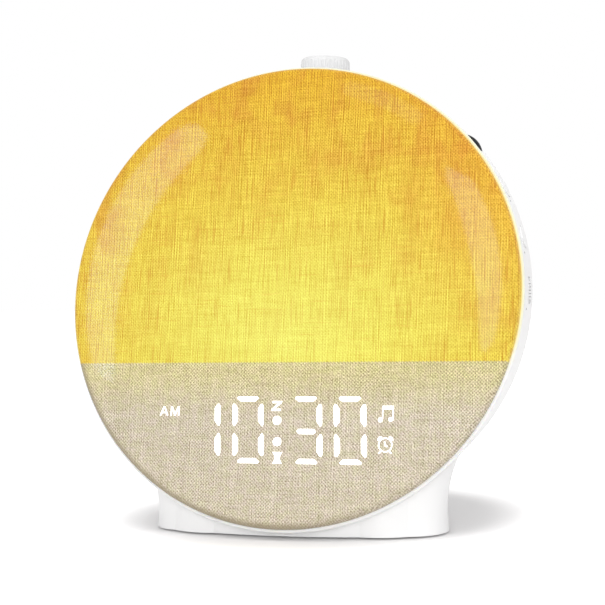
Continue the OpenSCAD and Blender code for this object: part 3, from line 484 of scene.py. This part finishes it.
def slubs_and_bands(tree, place):
    """Thick stretches of the warp and of the weft, and long bands of lighter threads, 0 to 1."""
    warp_slub = threads(tree, place, *WARP_SLUB, detail=1)
    weft_slub = threads(tree, place, *WEFT_SLUB, roughness=LUMPY)
    upright = threads(tree, place, *UPRIGHT_BANDS, detail=3)
    level = threads(tree, place, *LEVEL_BANDS, detail=3)
    bands = maths(tree, "ADD", upright, level)
    return (spread(tree, warp_slub, *WARP_SLUB_SHOWN), spread(tree, weft_slub, *WEFT_SLUB_SHOWN),
            spread(tree, bands, *BANDS_SHOWN, smooth=False))


def plain_linen(tree, place, x, v, weave, slubs, bands):
    """Colour of the plain part: beige, warmed by the lamp near the divider, painted shade at its
    rim.
    """
    tinge = spread(tree, noise(tree, place, TINGE, 3, LUMPY), *NOISE_MIDDLE)
    plain = mix(tree, spread(tree, v, *WARMED), PLAIN_LINEN, WARMED_LINEN)
    plain = shaded(tree, plain, tinge, *TINGE_SHADES)
    plain = shaded(tree, plain, bands, *PLAIN_BAND_SHADES)
    plain = shaded(tree, plain, weave, *PLAIN_WEAVE_SHADES)
    for slub in slubs:
        plain = mix(tree, times(tree, slub, PLAIN_SLUB_SHARE), plain, PLAIN_SLUB)
    # Painted shade at the rim, where the cloth rolls round the edge, stronger towards the left
    rim = spread(tree, distance(tree, x, v), *RIM_WIDTH)
    rim = times(tree, rim, spread(tree, x, *RIM_SIDE, 0, RIM_SHARE))
    return mix(tree, rim, plain, PAINTED_RIM_SHADE)


def lit_linen(tree, place, x, v, parts, slubs, bands):
    """Colour of the lit part: yellow above the middle of the divider, orange towards the rim."""
    away = distance(tree, times(tree, x, LIT_SIDEWAYS), maths(tree, "SUBTRACT", v, LIT_MIDDLE))
    lit = ramp(tree, maths(tree, "DIVIDE", away, LIT_REACH), LIT_STOPS)
    patches = threads(tree, place, *PATCHES, detail=5, roughness=LUMPY)
    patches = times(tree, spread(tree, patches, *PATCHES_SHOWN),
                    spread(tree, away, *PATCH_AWAY, *PATCH_SHARE))
    lit = mix(tree, patches, lit, ORANGE)
    warm_side = times(tree, spread(tree, x, *WARM_SIDE_X), spread(tree, v, *WARM_SIDE_V))
    lit = shaded(tree, lit, warm_side, *WARM_SIDE_SHADES)
    lit = shaded(tree, lit, bands, *LIT_BAND_SHADES)
    contrast = spread(tree, away, *CONTRAST_AWAY, *LIT_CONTRAST, smooth=False)
    weave = woven(tree, parts, LIT_WEAVE, LIT_WEAVE_REACH, contrast)
    lit = shaded(tree, lit, weave, *LIT_WEAVE_SHADES)
    warp_slub, weft_slub = slubs
    warp_share = times(tree, contrast, LIT_SLUB_SHARE)
    lit = mix(tree, times(tree, warp_slub, warp_share), lit, LIT_SLUB)
    return mix(tree, times(tree, weft_slub, LIT_WEFT_SHARE), lit, ORANGE)


def linen_material():
    """Linen in front of the lamp and the display: one material with a lit and a plain part."""
    made, tree, shader = material("linen")
    place = in_face(tree)
    x, _, v = add(tree, "SeparateXYZ", {0: place}).outputs
    parts = weave_parts(tree, place, x, v)
    weave = woven(tree, parts, PLAIN_WEAVE, PLAIN_REACH)
    *slubs, bands = slubs_and_bands(tree, place)
    plain = plain_linen(tree, place, x, v, weave, slubs, bands)
    lit = lit_linen(tree, place, x, v, parts, slubs, bands)
    frayed = maths(tree, "ADD", v, times(tree, parts["line"], BORDER_FRAY))
    shown = spread(tree, frayed, DIVIDER - BORDER, DIVIDER + BORDER)
    reflecting = mix(tree, 1.0, lit, (LIT_REFLECTED,) * 3, "MULTIPLY")
    shining = mix(tree, 1.0, lit, (LIT_SHINING,) * 3, "MULTIPLY")
    relief = maths(tree, "ADD", weave, times(tree, slubs[0], SLUB_RELIEF))
    set_inputs(tree, shader, {
        "Base Color": mix(tree, shown, plain, reflecting),
        "Emission Color": mix(tree, shown, BLACK, shining),
        "Emission Strength": 1.0,
        "Roughness": spread(tree, weave, 0, 1, *LINEN_ROUGHNESS),
        "Normal": bump(tree, relief, WEAVE_DEPTH),
        "Specular IOR Level": 0.2,
        "Sheen Weight": 0.1,
        "Coat Weight": 0.35,
        "Coat Roughness": 0.04,
    })
    return made


# ---- All the materials, and what each CAD node is made of ----

MATERIALS = {
    "linen": linen_material(),
    "ring": ring_material(),
    "glow": glowing("display_glow", (1.0, 1.0, 1.0), 0.9),
    "led": glowing("led", (1.0, 0.86, 0.5), 1.5),
    "shell": moulded("white_shell", (0.90, 0.90, 0.90), 0.38, grain=2.6, mottle=0.01),
    # The knob is the shell's white plastic, set darker here as painted shade
    "knob": moulded("white_knob", (0.68, 0.68, 0.68), 0.42, grain=3.2, depth=0.015),
    "button": moulded("white_button", (0.90, 0.90, 0.90), 0.38, grain=3.0, depth=0.012),
    "gloss": moulded("black_gloss", (0.008, 0.008, 0.009), 0.45, grain=4.0, depth=0.004,
                     mottle=0.1, specular=0.06),
    "mark": moulded("grey_print", (0.20, 0.20, 0.21), 0.5, grain=5.0, depth=0.005, mottle=0.08),
    "milky": moulded("milky_panel", (0.84, 0.84, 0.82), 0.45, grain=1.8, depth=0.01),
    "inner": moulded("white_inner", (0.74, 0.74, 0.72), 0.5, grain=2.0),
    "black": moulded("black_plastic", (0.02, 0.02, 0.021), 0.45, grain=2.4, mottle=0.08),
    "rubber": moulded("rubber", (0.035, 0.035, 0.037), 0.8, grain=3.4, depth=0.05, mottle=0.1),
    "chip": moulded("chip", (0.02, 0.02, 0.022), 0.55, grain=4.0, depth=0.01, mottle=0.1),
    "connector": moulded("connector", (0.72, 0.69, 0.60), 0.5, grain=3.0, depth=0.01),
    "basket": moulded("painted_basket", (0.05, 0.05, 0.055), 0.4, grain=3.0, mottle=0.1),
    "ferrite": moulded("ferrite", (0.07, 0.07, 0.075), 0.6, grain=3.4, depth=0.05, mottle=0.12),
    "paper": moulded("paper_cone", (0.10, 0.095, 0.09), 0.85, grain=1.6, depth=0.08, mottle=0.15),
    "steel": metal("steel", (0.62, 0.63, 0.65), 0.3),
    "cell": metal("cell_steel", (0.72, 0.72, 0.73), 0.2, brush=(4, 4, 0.3)),
    "brass": metal("brass_nut", (0.80, 0.60, 0.25), 0.28),
    "capacitor": metal("capacitor", (0.55, 0.56, 0.60), 0.25, brush=(4, 4, 0.3)),
    "green": board("green_board", (0.012, 0.10, 0.045), (0.03, 0.20, 0.08)),
    "pale": board("white_board", (0.76, 0.76, 0.74), (0.68, 0.68, 0.62)),
}

NODE_MATERIALS = {
    "milky": ("front_panel", "unlit_segments"),
    "ring": ("light_ring",),
    "inner": ("front_chassis", "knob_board"),
    "pale": ("sunrise_board",),
    "led": ("sunrise_leds", "display_leds"),
    "steel": ("ring_screws", "sunrise_board_screws", "housing_screws", "base_screws",
              "main_board_screws", "battery_door_screw", "speaker_screws", "side_board_screws",
              "knob_shaft", "encoder_plunger", "encoder_body"),
    "black": ("display_frame", "power_inlet", "coin_cell_holder", "button_switches",
              "slide_switch"),
    "glow": ("lit_segments", "display_icon_lenses"),
    "green": ("display_board", "main_board", "upper_side_board", "lower_side_board"),
    "shell": ("rear_housing", "base_plate", "battery_door", "speaker_grille"),
    "rubber": ("rubber_feet",),
    "chip": ("processor",),
    "capacitor": ("board_capacitors",),
    "connector": ("board_connectors",),
    "cell": ("coin_cell",),
    "basket": ("speaker_frame",),
    "ferrite": ("speaker_magnet",),
    "paper": ("speaker_cone",),
    "brass": ("encoder_nut",),
    "knob": ("top_knob",),
    "button": ("upper_button", "lower_button", "ribbed_slider"),
    "gloss": ("black_button",),
}


def dress_nodes():
    """Gives each CAD node its material."""
    for key, names in NODE_MATERIALS.items():
        for name in names:
            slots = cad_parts[name].data.materials
            slots.clear()
            slots.append(MATERIALS[key])


# ---- Pieces and outlines ----

def piece(name, points, faces, made, smooth=True):
    """A mesh object of points in metres."""
    mesh = bpy.data.meshes.new(name)
    mesh.from_pydata(points, [], faces)
    mesh.materials.append(made)
    mesh.update()
    if smooth:
        mesh.shade_smooth()
    else:
        mesh.shade_flat()
    made_object = bpy.data.objects.new(name, mesh)
    bpy.context.scene.collection.objects.link(made_object)
    return made_object


def arc(x, v, radius, start, end, steps):
    """Points on an arc, angles in degrees from the right, counter-clockwise."""
    turns = [math.radians(start + (end - start) * i / steps) for i in range(steps + 1)]
    return [(x + radius * math.cos(t), v + radius * math.sin(t)) for t in turns]


def circle(x, v, radius, sides):
    """Corners of a circle drawn with that many sides."""
    return arc(x, v, radius, 0, 360 * (sides - 1) / sides, sides - 1)


def moved(outline, x, v):
    return [(x + a, v + b) for a, b in outline]


def mirrored(outline):
    return [(-a, b) for a, b in outline]


# ---- Linen cloth ----

CLOTH_RINGS = 96
CLOTH_SPOKES = 288
ROLL_STEPS = 8


def cloth_profile():
    """Radius and depth of the linen's outer face, from near the middle to its edge, in mm."""
    flat_r = LINEN_R - LINEN_EDGE_R
    flat = [(flat_r * i / CLOTH_RINGS, 0.0) for i in range(1, CLOTH_RINGS + 1)]
    turns = [math.radians(90 * i / ROLL_STEPS) for i in range(1, ROLL_STEPS + 1)]
    rolled = [(LINEN_R - LINEN_EDGE_R * (1 - math.sin(t)), LINEN_EDGE_R * (1 - math.cos(t)))
              for t in turns]
    return flat + rolled + [(LINEN_R, LINEN_DEPTH)]


def make_linen():
    """The stretched cloth: one disc with its rim rolled round the panel's edge."""
    profile = cloth_profile()
    points = [on_face(0, 0)]
    for radius, depth in profile:
        for k in range(CLOTH_SPOKES):
            turn = 2 * math.pi * k / CLOTH_SPOKES
            points.append(on_face(radius * math.sin(turn), radius * math.cos(turn), depth))
    faces = [(0, 1 + (k + 1) % CLOTH_SPOKES, 1 + k) for k in range(CLOTH_SPOKES)]
    for ring in range(len(profile) - 1):
        first = 1 + ring * CLOTH_SPOKES
        under = first + CLOTH_SPOKES
        for k in range(CLOTH_SPOKES):
            after = (k + 1) % CLOTH_SPOKES
            faces.append((first + k, first + after, under + after, under + k))
    cloth = piece("linen_cloth", points, faces, MATERIALS["linen"])
    thick = cloth.modifiers.new("thickness", "SOLIDIFY")
    thick.thickness = LINEN_T * MM
    thick.offset = -1
    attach(cloth, "housing")
    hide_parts("fabric_cover")


# ---- Lit shapes: digits and signs as they show through the linen, in mm ----

GLOW_PROUD = 0.06
JOIN_WITHIN = 1e-6


def glow_plate(name, outlines):
    """Flat lit shapes on the linen. An outline is a list of (x, v); one inside another is a hole."""
    curve = bpy.data.curves.new(name, "CURVE")
    curve.dimensions = "2D"
    curve.fill_mode = "BOTH"
    curve.extrude = GLOW_PROUD * MM
    for outline in outlines:
        spline = curve.splines.new("POLY")
        spline.points.add(len(outline) - 1)
        for point, (x, v) in zip(spline.points, outline):
            point.co = (x * MM, v * MM, 0, 1)
        spline.use_cyclic_u = True
    flat = bpy.data.objects.new(name + "_outline", curve)
    mesh = bpy.data.meshes.new_from_object(flat)
    bpy.data.objects.remove(flat)
    edit = bmesh.new()
    edit.from_mesh(mesh)
    bmesh.ops.remove_doubles(edit, verts=edit.verts, dist=JOIN_WITHIN)
    for vertex in edit.verts:
        x, v, out = vertex.co / MM
        vertex.co = on_face(x, v, -out)
    bmesh.ops.recalc_face_normals(edit, faces=edit.faces)
    edit.to_mesh(mesh)
    edit.free()
    mesh.materials.clear()
    mesh.materials.append(MATERIALS["glow"])
    plate = bpy.data.objects.new(name, mesh)
    bpy.context.scene.collection.objects.link(plate)
    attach(plate, "housing")


# Digits: places of their middles, and a slant against the camera's roll
DIGITS = ("1", "0", "3", "0")
DIGIT_X = (-30.7, -13.1, 10.1, 27.3)
DIGIT_V = -52.8
DIGIT_SLANT = -0.047

# Segments: how far the top and bottom bars lie from the digit's middle, half their length and
# their thickness; half the middle bar's length, its drop and the length of its points; place
# and width of the uprights, and the heights of their ends
BAR_RISE = 11.7
BAR_HALF = 4.3
BAR_T = 1.95
MIDDLE_BAR_HALF = 3.9
MIDDLE_BAR_DROP = 0.5
MIDDLE_BAR_POINT = 0.9
UPRIGHT_X = 5.2
UPRIGHT_W = 2.25
UPRIGHT_ENDS = (1.4, 9.9)

# Side and level of each segment, and the segments that each digit lights
SEGMENT_PLACES = {
    "a": (0, 1), "b": (1, 1), "c": (1, -1), "d": (0, -1), "e": (-1, -1), "f": (-1, 1), "g": (0, 0),
}
SEGMENTS_LIT = {"0": "abcdef", "1": "bc", "3": "abcdg"}


def middle_bar():
    half = MIDDLE_BAR_HALF
    flat = half - MIDDLE_BAR_POINT
    t = BAR_T / 2
    return moved([(-half, 0), (-flat, t), (flat, t), (half, 0), (flat, -t), (-flat, -t)],
                 0, -MIDDLE_BAR_DROP)


def end_bar(level):
    """The top or the bottom bar, whose inner side is the shorter one."""
    t = level * BAR_T / 2
    right = [(BAR_HALF - 0.5, t), (BAR_HALF, 0.5 * t), (BAR_HALF - 0.2, 0), (BAR_HALF - 1.4, -t)]
    return moved(mirrored(right)[::-1] + right, 0, level * BAR_RISE)


def upright_bar(side, level):
    """An upright, whose ends slant: its outer side is the longer one."""
    low, high = UPRIGHT_ENDS
    outer = UPRIGHT_X + UPRIGHT_W / 2
    inner = UPRIGHT_X - UPRIGHT_W / 2
    tip = UPRIGHT_X + UPRIGHT_W / 5
    outline = [(outer, low + 0.9), (outer, high - 0.8), (tip + 0.3, high), (tip - 0.5, high - 0.1),
               (inner, high - 1.7), (inner, low + 1.8), (tip - 0.2, low), (tip + 0.2, low)]
    return [(side * x, level * v) for x, v in outline]


def segment_outline(side, level):
    if side:
        return upright_bar(side, level)
    if level:
        return end_bar(level)
    return middle_bar()


def make_digits():
    for k, (x, digit) in enumerate(zip(DIGIT_X, DIGITS), 1):
        outlines = []
        for letter in SEGMENTS_LIT[digit]:
            outline = segment_outline(*SEGMENT_PLACES[letter])
            outlines.append([(x + a + DIGIT_SLANT * b, DIGIT_V + b) for a, b in outline])
        glow_plate(f"digit_{k}_glow", outlines)


# Signs: their places, and their outlines round them
COLON_PLACES = ((-1.61, -49.2), (-1.26, -57.2))
COLON_R = 1.7
COLON_SIDES = 28

SNOOZE_PLACE = (-1.95, -43.7)
SNOOZE = [(-1.6, 1.9), (2.1, 1.9), (2.0, 1.15), (-0.6, -1.05), (1.75, -1.05), (1.6, -1.9),
          (-2.1, -1.9), (-2.0, -1.15), (0.6, 1.05), (-1.75, 1.05)]

TIMER_PLACE = (-0.95, -63.3)
TIMER_SIDE = [(1.95, 2.2), (1.85, 1.9), (1.15, 0.9), (1.05, 0), (1.15, -0.9), (1.8, -1.9),
              (1.85, -2.2)]

LETTER_A_PLACE = (-47.95, -45.8)
LETTER_A = [(-1.8, -1.8), (-0.35, 1.8), (0.35, 1.8), (1.8, -1.8), (1.2, -1.8), (0.83, -0.85),
            (-0.83, -0.85), (-1.2, -1.8)]
LETTER_A_HOLE = [(-0.62, -0.3), (0.62, -0.3), (0, 1.2)]
LETTER_M_PLACE = (-43.4, -45.8)
LETTER_M = [(-1.8, -1.8), (-1.8, 1.8), (-1.05, 1.8), (0, -0.9), (1.05, 1.8), (1.8, 1.8),
            (1.8, -1.8), (1.3, -1.8), (1.3, 0.8), (0.25, -1.8), (-0.25, -1.8), (-1.3, 0.8),
            (-1.3, -1.8)]

# One outline goes round the note: left head, under the beam, right head and back over the beam
NOTE_PLACE = (40.9, -46.5)
NOTE = (arc(-2.1, -2.2, 0.95, 20, 320, 14)
        + [(-1.1, -1.5), (-1.1, 1.6), (2.45, 1.6), (2.45, -1.35)]
        + arc(1.8, -2.0, 0.85, 110, 300, 10)
        + [(2.9, -2.3), (2.9, 3.0), (-1.5, 3.0), (-1.5, -1.6)])

ALARM_PLACE = (40.9, -58.0)
ALARM_RADII = (2.75, 2.32)
ALARM_SIDES = 32
ALARM_HANDS = [(-0.45, 1.3), (0.05, 1.3), (0.1, 0.15), (1.05, -0.5), (0.75, -0.85), (-0.35, -0.35)]
ALARM_BELL = arc(1.75, 1.9, 1.25, -20, 120, 8)
ALARM_FOOT = [(1.85, -2.3), (2.7, -3.0), (2.3, -3.3), (1.4, -2.65)]


def make_signs():
    """Colon, snooze and timer signs, half-day mark, note and alarm clock, as plain strokes."""
    glow_plate("colon_glow", [circle(*place, COLON_R, COLON_SIDES) for place in COLON_PLACES])
    glow_plate("snooze_glow", [moved(SNOOZE, *SNOOZE_PLACE)])
    glow_plate("timer_glow", [moved(TIMER_SIDE + mirrored(TIMER_SIDE)[::-1], *TIMER_PLACE)])
    glow_plate("half_day_glow", [moved(LETTER_A, *LETTER_A_PLACE),
                                 moved(LETTER_A_HOLE, *LETTER_A_PLACE),
                                 moved(LETTER_M, *LETTER_M_PLACE)])
    glow_plate("note_glow", [moved(NOTE, *NOTE_PLACE)])
    alarm = [circle(0, 0, radius, ALARM_SIDES) for radius in ALARM_RADII]
    alarm += [ALARM_HANDS, ALARM_BELL, mirrored(ALARM_BELL), ALARM_FOOT, mirrored(ALARM_FOOT)]
    glow_plate("alarm_glow", [moved(outline, *ALARM_PLACE) for outline in alarm])


# ---- Printed dots on the housing's right side ----

# Turn from the top in degrees, and depth behind the front's middle in mm
PRINTED_DOTS = ((68.0, 31.7), (81.6, 29.3), (95.7, 27.1))
DOT_R = 0.45
DOT_PROUD = 0.03
DOT_SIDES = 16


def make_printed_dots():
    """Small grey dots between the side controls, laid on the housing's wall."""
    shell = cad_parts["rear_housing"]
    backward = Vector((0, 1, 0))
    for k, (turn, depth) in enumerate(PRINTED_DOTS, 1):
        angle = math.radians(turn)
        out = Vector((math.sin(angle), 0, math.cos(angle)))
        axis = FACE_CENTRE + backward * depth * MM
        _, centre, normal, _ = shell.ray_cast(axis + out * 2 * LINEN_R * MM, -out)
        across = normal.cross(backward).normalized()
        along = across.cross(normal)
        points = []
        for rise in (-DOT_PROUD, DOT_PROUD):
            for a, b in circle(0, 0, DOT_R, DOT_SIDES):
                points.append(centre + (across * a + along * b + normal * rise) * MM)
        faces = [tuple(range(DOT_SIDES))[::-1], tuple(range(DOT_SIDES, 2 * DOT_SIDES))]
        for i in range(DOT_SIDES):
            after = (i + 1) % DOT_SIDES
            faces.append((i, after, DOT_SIDES + after, DOT_SIDES + i))
        dot = piece(f"printed_dot_{k}", points, faces, MATERIALS["mark"], smooth=False)
        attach(dot, "housing")


# ---- Stage: metres, and watts for the lamps ----

FLOOR_SIZE = 6.0
FLOOR_COLOUR = (0.8, 0.79, 0.79, 1)
# Distances from SHADOW_MIDDLE over which the floor's own light rises, and how far it rises; the
# weak glow near the middle is a painted shadow, added to the lamps' real one
SHADOW_MIDDLE = (0, 0.02, 0)
SHADOW_REACH = (0.064, 0.100)
FLOOR_LIFT = (0.08, 0.6)
WHITE = (1, 1, 1, 1)
# Strength of the world as it lights the clock, and as it is seen
WORLD_LIGHT = 0.70
WORLD_SEEN = 1.0

# Place, aim and power of each lamp
LAMPS = {
    "key": ((0.20, -0.72, 1.58), (0, 0, 0.08), 11.0),
    "fill": ((0.45, -1.35, 0.22), (0, 0, 0.05), 9.0),
}
LAMP_SIZE = 0.9


def ray_that_sees(tree):
    """1 for a ray from the camera, also one mirrored or passed through something clear, else 0."""
    path = add(tree, "LightPath")
    seen = maths(tree, "MAXIMUM", path.outputs["Is Camera Ray"], path.outputs["Is Glossy Ray"])
    return maths(tree, "MAXIMUM", seen, path.outputs["Is Transmission Ray"])


def floor_material():
    """Pale floor that the camera and reflections see as white, with a painted shadow where its glow
    is weak.
    """
    made, tree, shader = material("floor")
    away = add(tree, "VectorMath", {0: add(tree, "TexCoord").outputs["Object"], 1: SHADOW_MIDDLE},
               operation="DISTANCE")
    # Painted shadow: the floor's glow is weakest near SHADOW_MIDDLE
    lift = spread(tree, away.outputs["Value"], *SHADOW_REACH, *FLOOR_LIFT)
    set_inputs(tree, shader, {
        "Base Color": FLOOR_COLOUR,
        "Roughness": 1.0,
        "Specular IOR Level": 0.0,
        "Emission Color": WHITE,
        "Emission Strength": times(tree, ray_that_sees(tree), lift),
    })
    return made


def make_floor():
    half = FLOOR_SIZE / 2
    floor = piece("floor", [(-half, -half, 0), (half, -half, 0), (half, half, 0), (-half, half, 0)],
                  [(0, 1, 2, 3)], floor_material(), smooth=False)


def make_world():
    """Soft light from all sides, seen as plain white."""
    world = bpy.data.worlds.new("studio")
    world.use_nodes = True
    bpy.context.scene.world = world
    tree = world.node_tree
    strength = spread(tree, ray_that_sees(tree), 0, 1, WORLD_LIGHT, WORLD_SEEN, smooth=False)
    set_inputs(tree, tree.nodes["Background"], {"Color": WHITE, "Strength": strength})


def make_lamps():
    """Round area lamps that neither the camera nor a reflection sees."""
    for name, (place, aim, power) in LAMPS.items():
        data = bpy.data.lights.new(name, "AREA")
        data.shape = "DISK"
        data.size = LAMP_SIZE
        data.energy = power
        lamp = bpy.data.objects.new(name, data)
        lamp.location = place
        lamp.rotation_euler = (Vector(aim) - Vector(place)).to_track_quat("-Z", "Y").to_euler()
        bpy.context.scene.collection.objects.link(lamp)
        lamp.visible_camera = False
        lamp.visible_glossy = False


# ---- Reflected cards, whose mirror images are the pale streaks on the front ----

# Each streak has the strength of its card and two edges. An edge has its radii in mm at its
# start, middle and end, and its start and end angle in degrees.
STREAKS = {
    "left_card": (8.0, ((83.2, 84.1, 84.3), 120, 203), ((70.2, 67.8, 76.5), 119, 206)),
    "right_card": (7.4, ((82.6, 83.2, 82.8), 32.5, -16), ((75.5, 72.6, 79.0), 37.5, -17.5)),
    "top_card": (3.0, ((86, 86, 86), 76, 52), ((80, 80, 80), 76, 52)),
}
STREAK_STEPS = 48
# Share of a streak's length over which each end is rounded
STREAK_CORNER = 0.05
# Distance of the cards from the front, in metres
CARD_REACH = 0.45
CARD_COLOUR = (0.45, 0.66, 1.0, 1)


def streak(*edges):
    """Points (x, v) along the two edges of a streak, whose corners are rounded."""
    made = [[], []]
    for i in range(STREAK_STEPS + 1):
        share = i / STREAK_STEPS
        width = min(1, 0.5 + 0.5 * min(share, 1 - share) / STREAK_CORNER)
        # A parabola through the edge's three radii
        radii = [a + (4 * b - 3 * a - c) * share + 2 * (a + c - 2 * b) * share ** 2
                 for (a, b, c), _, _ in edges]
        middle = sum(radii) / 2
        for points, radius, (_, start, end) in zip(made, radii, edges):
            turn = math.radians(start + (end - start) * share)
            r = middle + (radius - middle) * width
            points.append((r * math.cos(turn), r * math.sin(turn)))
    return made


def reflected_card(name, camera, edges, strength):
    """A bent card of light that the camera's place sees mirrored in the front between two edges."""
    points = []
    for edge in edges:
        for x, v in edge:
            place = on_face(x, v)
            ray = (place - camera).normalized()
            points.append(place + (ray - 2 * ray.dot(FACE_NORMAL) * FACE_NORMAL) * CARD_REACH)
    count = len(edges[0])
    faces = [(i, i + 1, count + i + 1, count + i) for i in range(count - 1)]
    made, tree, shader = material(name)
    set_inputs(tree, shader, {
        "Base Color": (*BLACK, 1),
        "Emission Color": CARD_COLOUR,
        "Emission Strength": strength,
    })
    card = piece(name, points, faces, made, smooth=False)
    card.visible_camera = False
    card.visible_diffuse = False
    card.visible_transmission = False
    card.visible_shadow = False


def make_stage(camera):
    make_floor()
    make_world()
    make_lamps()
    for name, (strength, *edges) in STREAKS.items():
        reflected_card(name, camera, streak(*edges), strength)


# ---- Making it ----

scene = bpy.context.scene
scene.view_settings.view_transform = "Standard"
camera_place = make_camera()
dress_nodes()
make_linen()
make_digits()
make_signs()
make_printed_dots()
make_stage(camera_place)
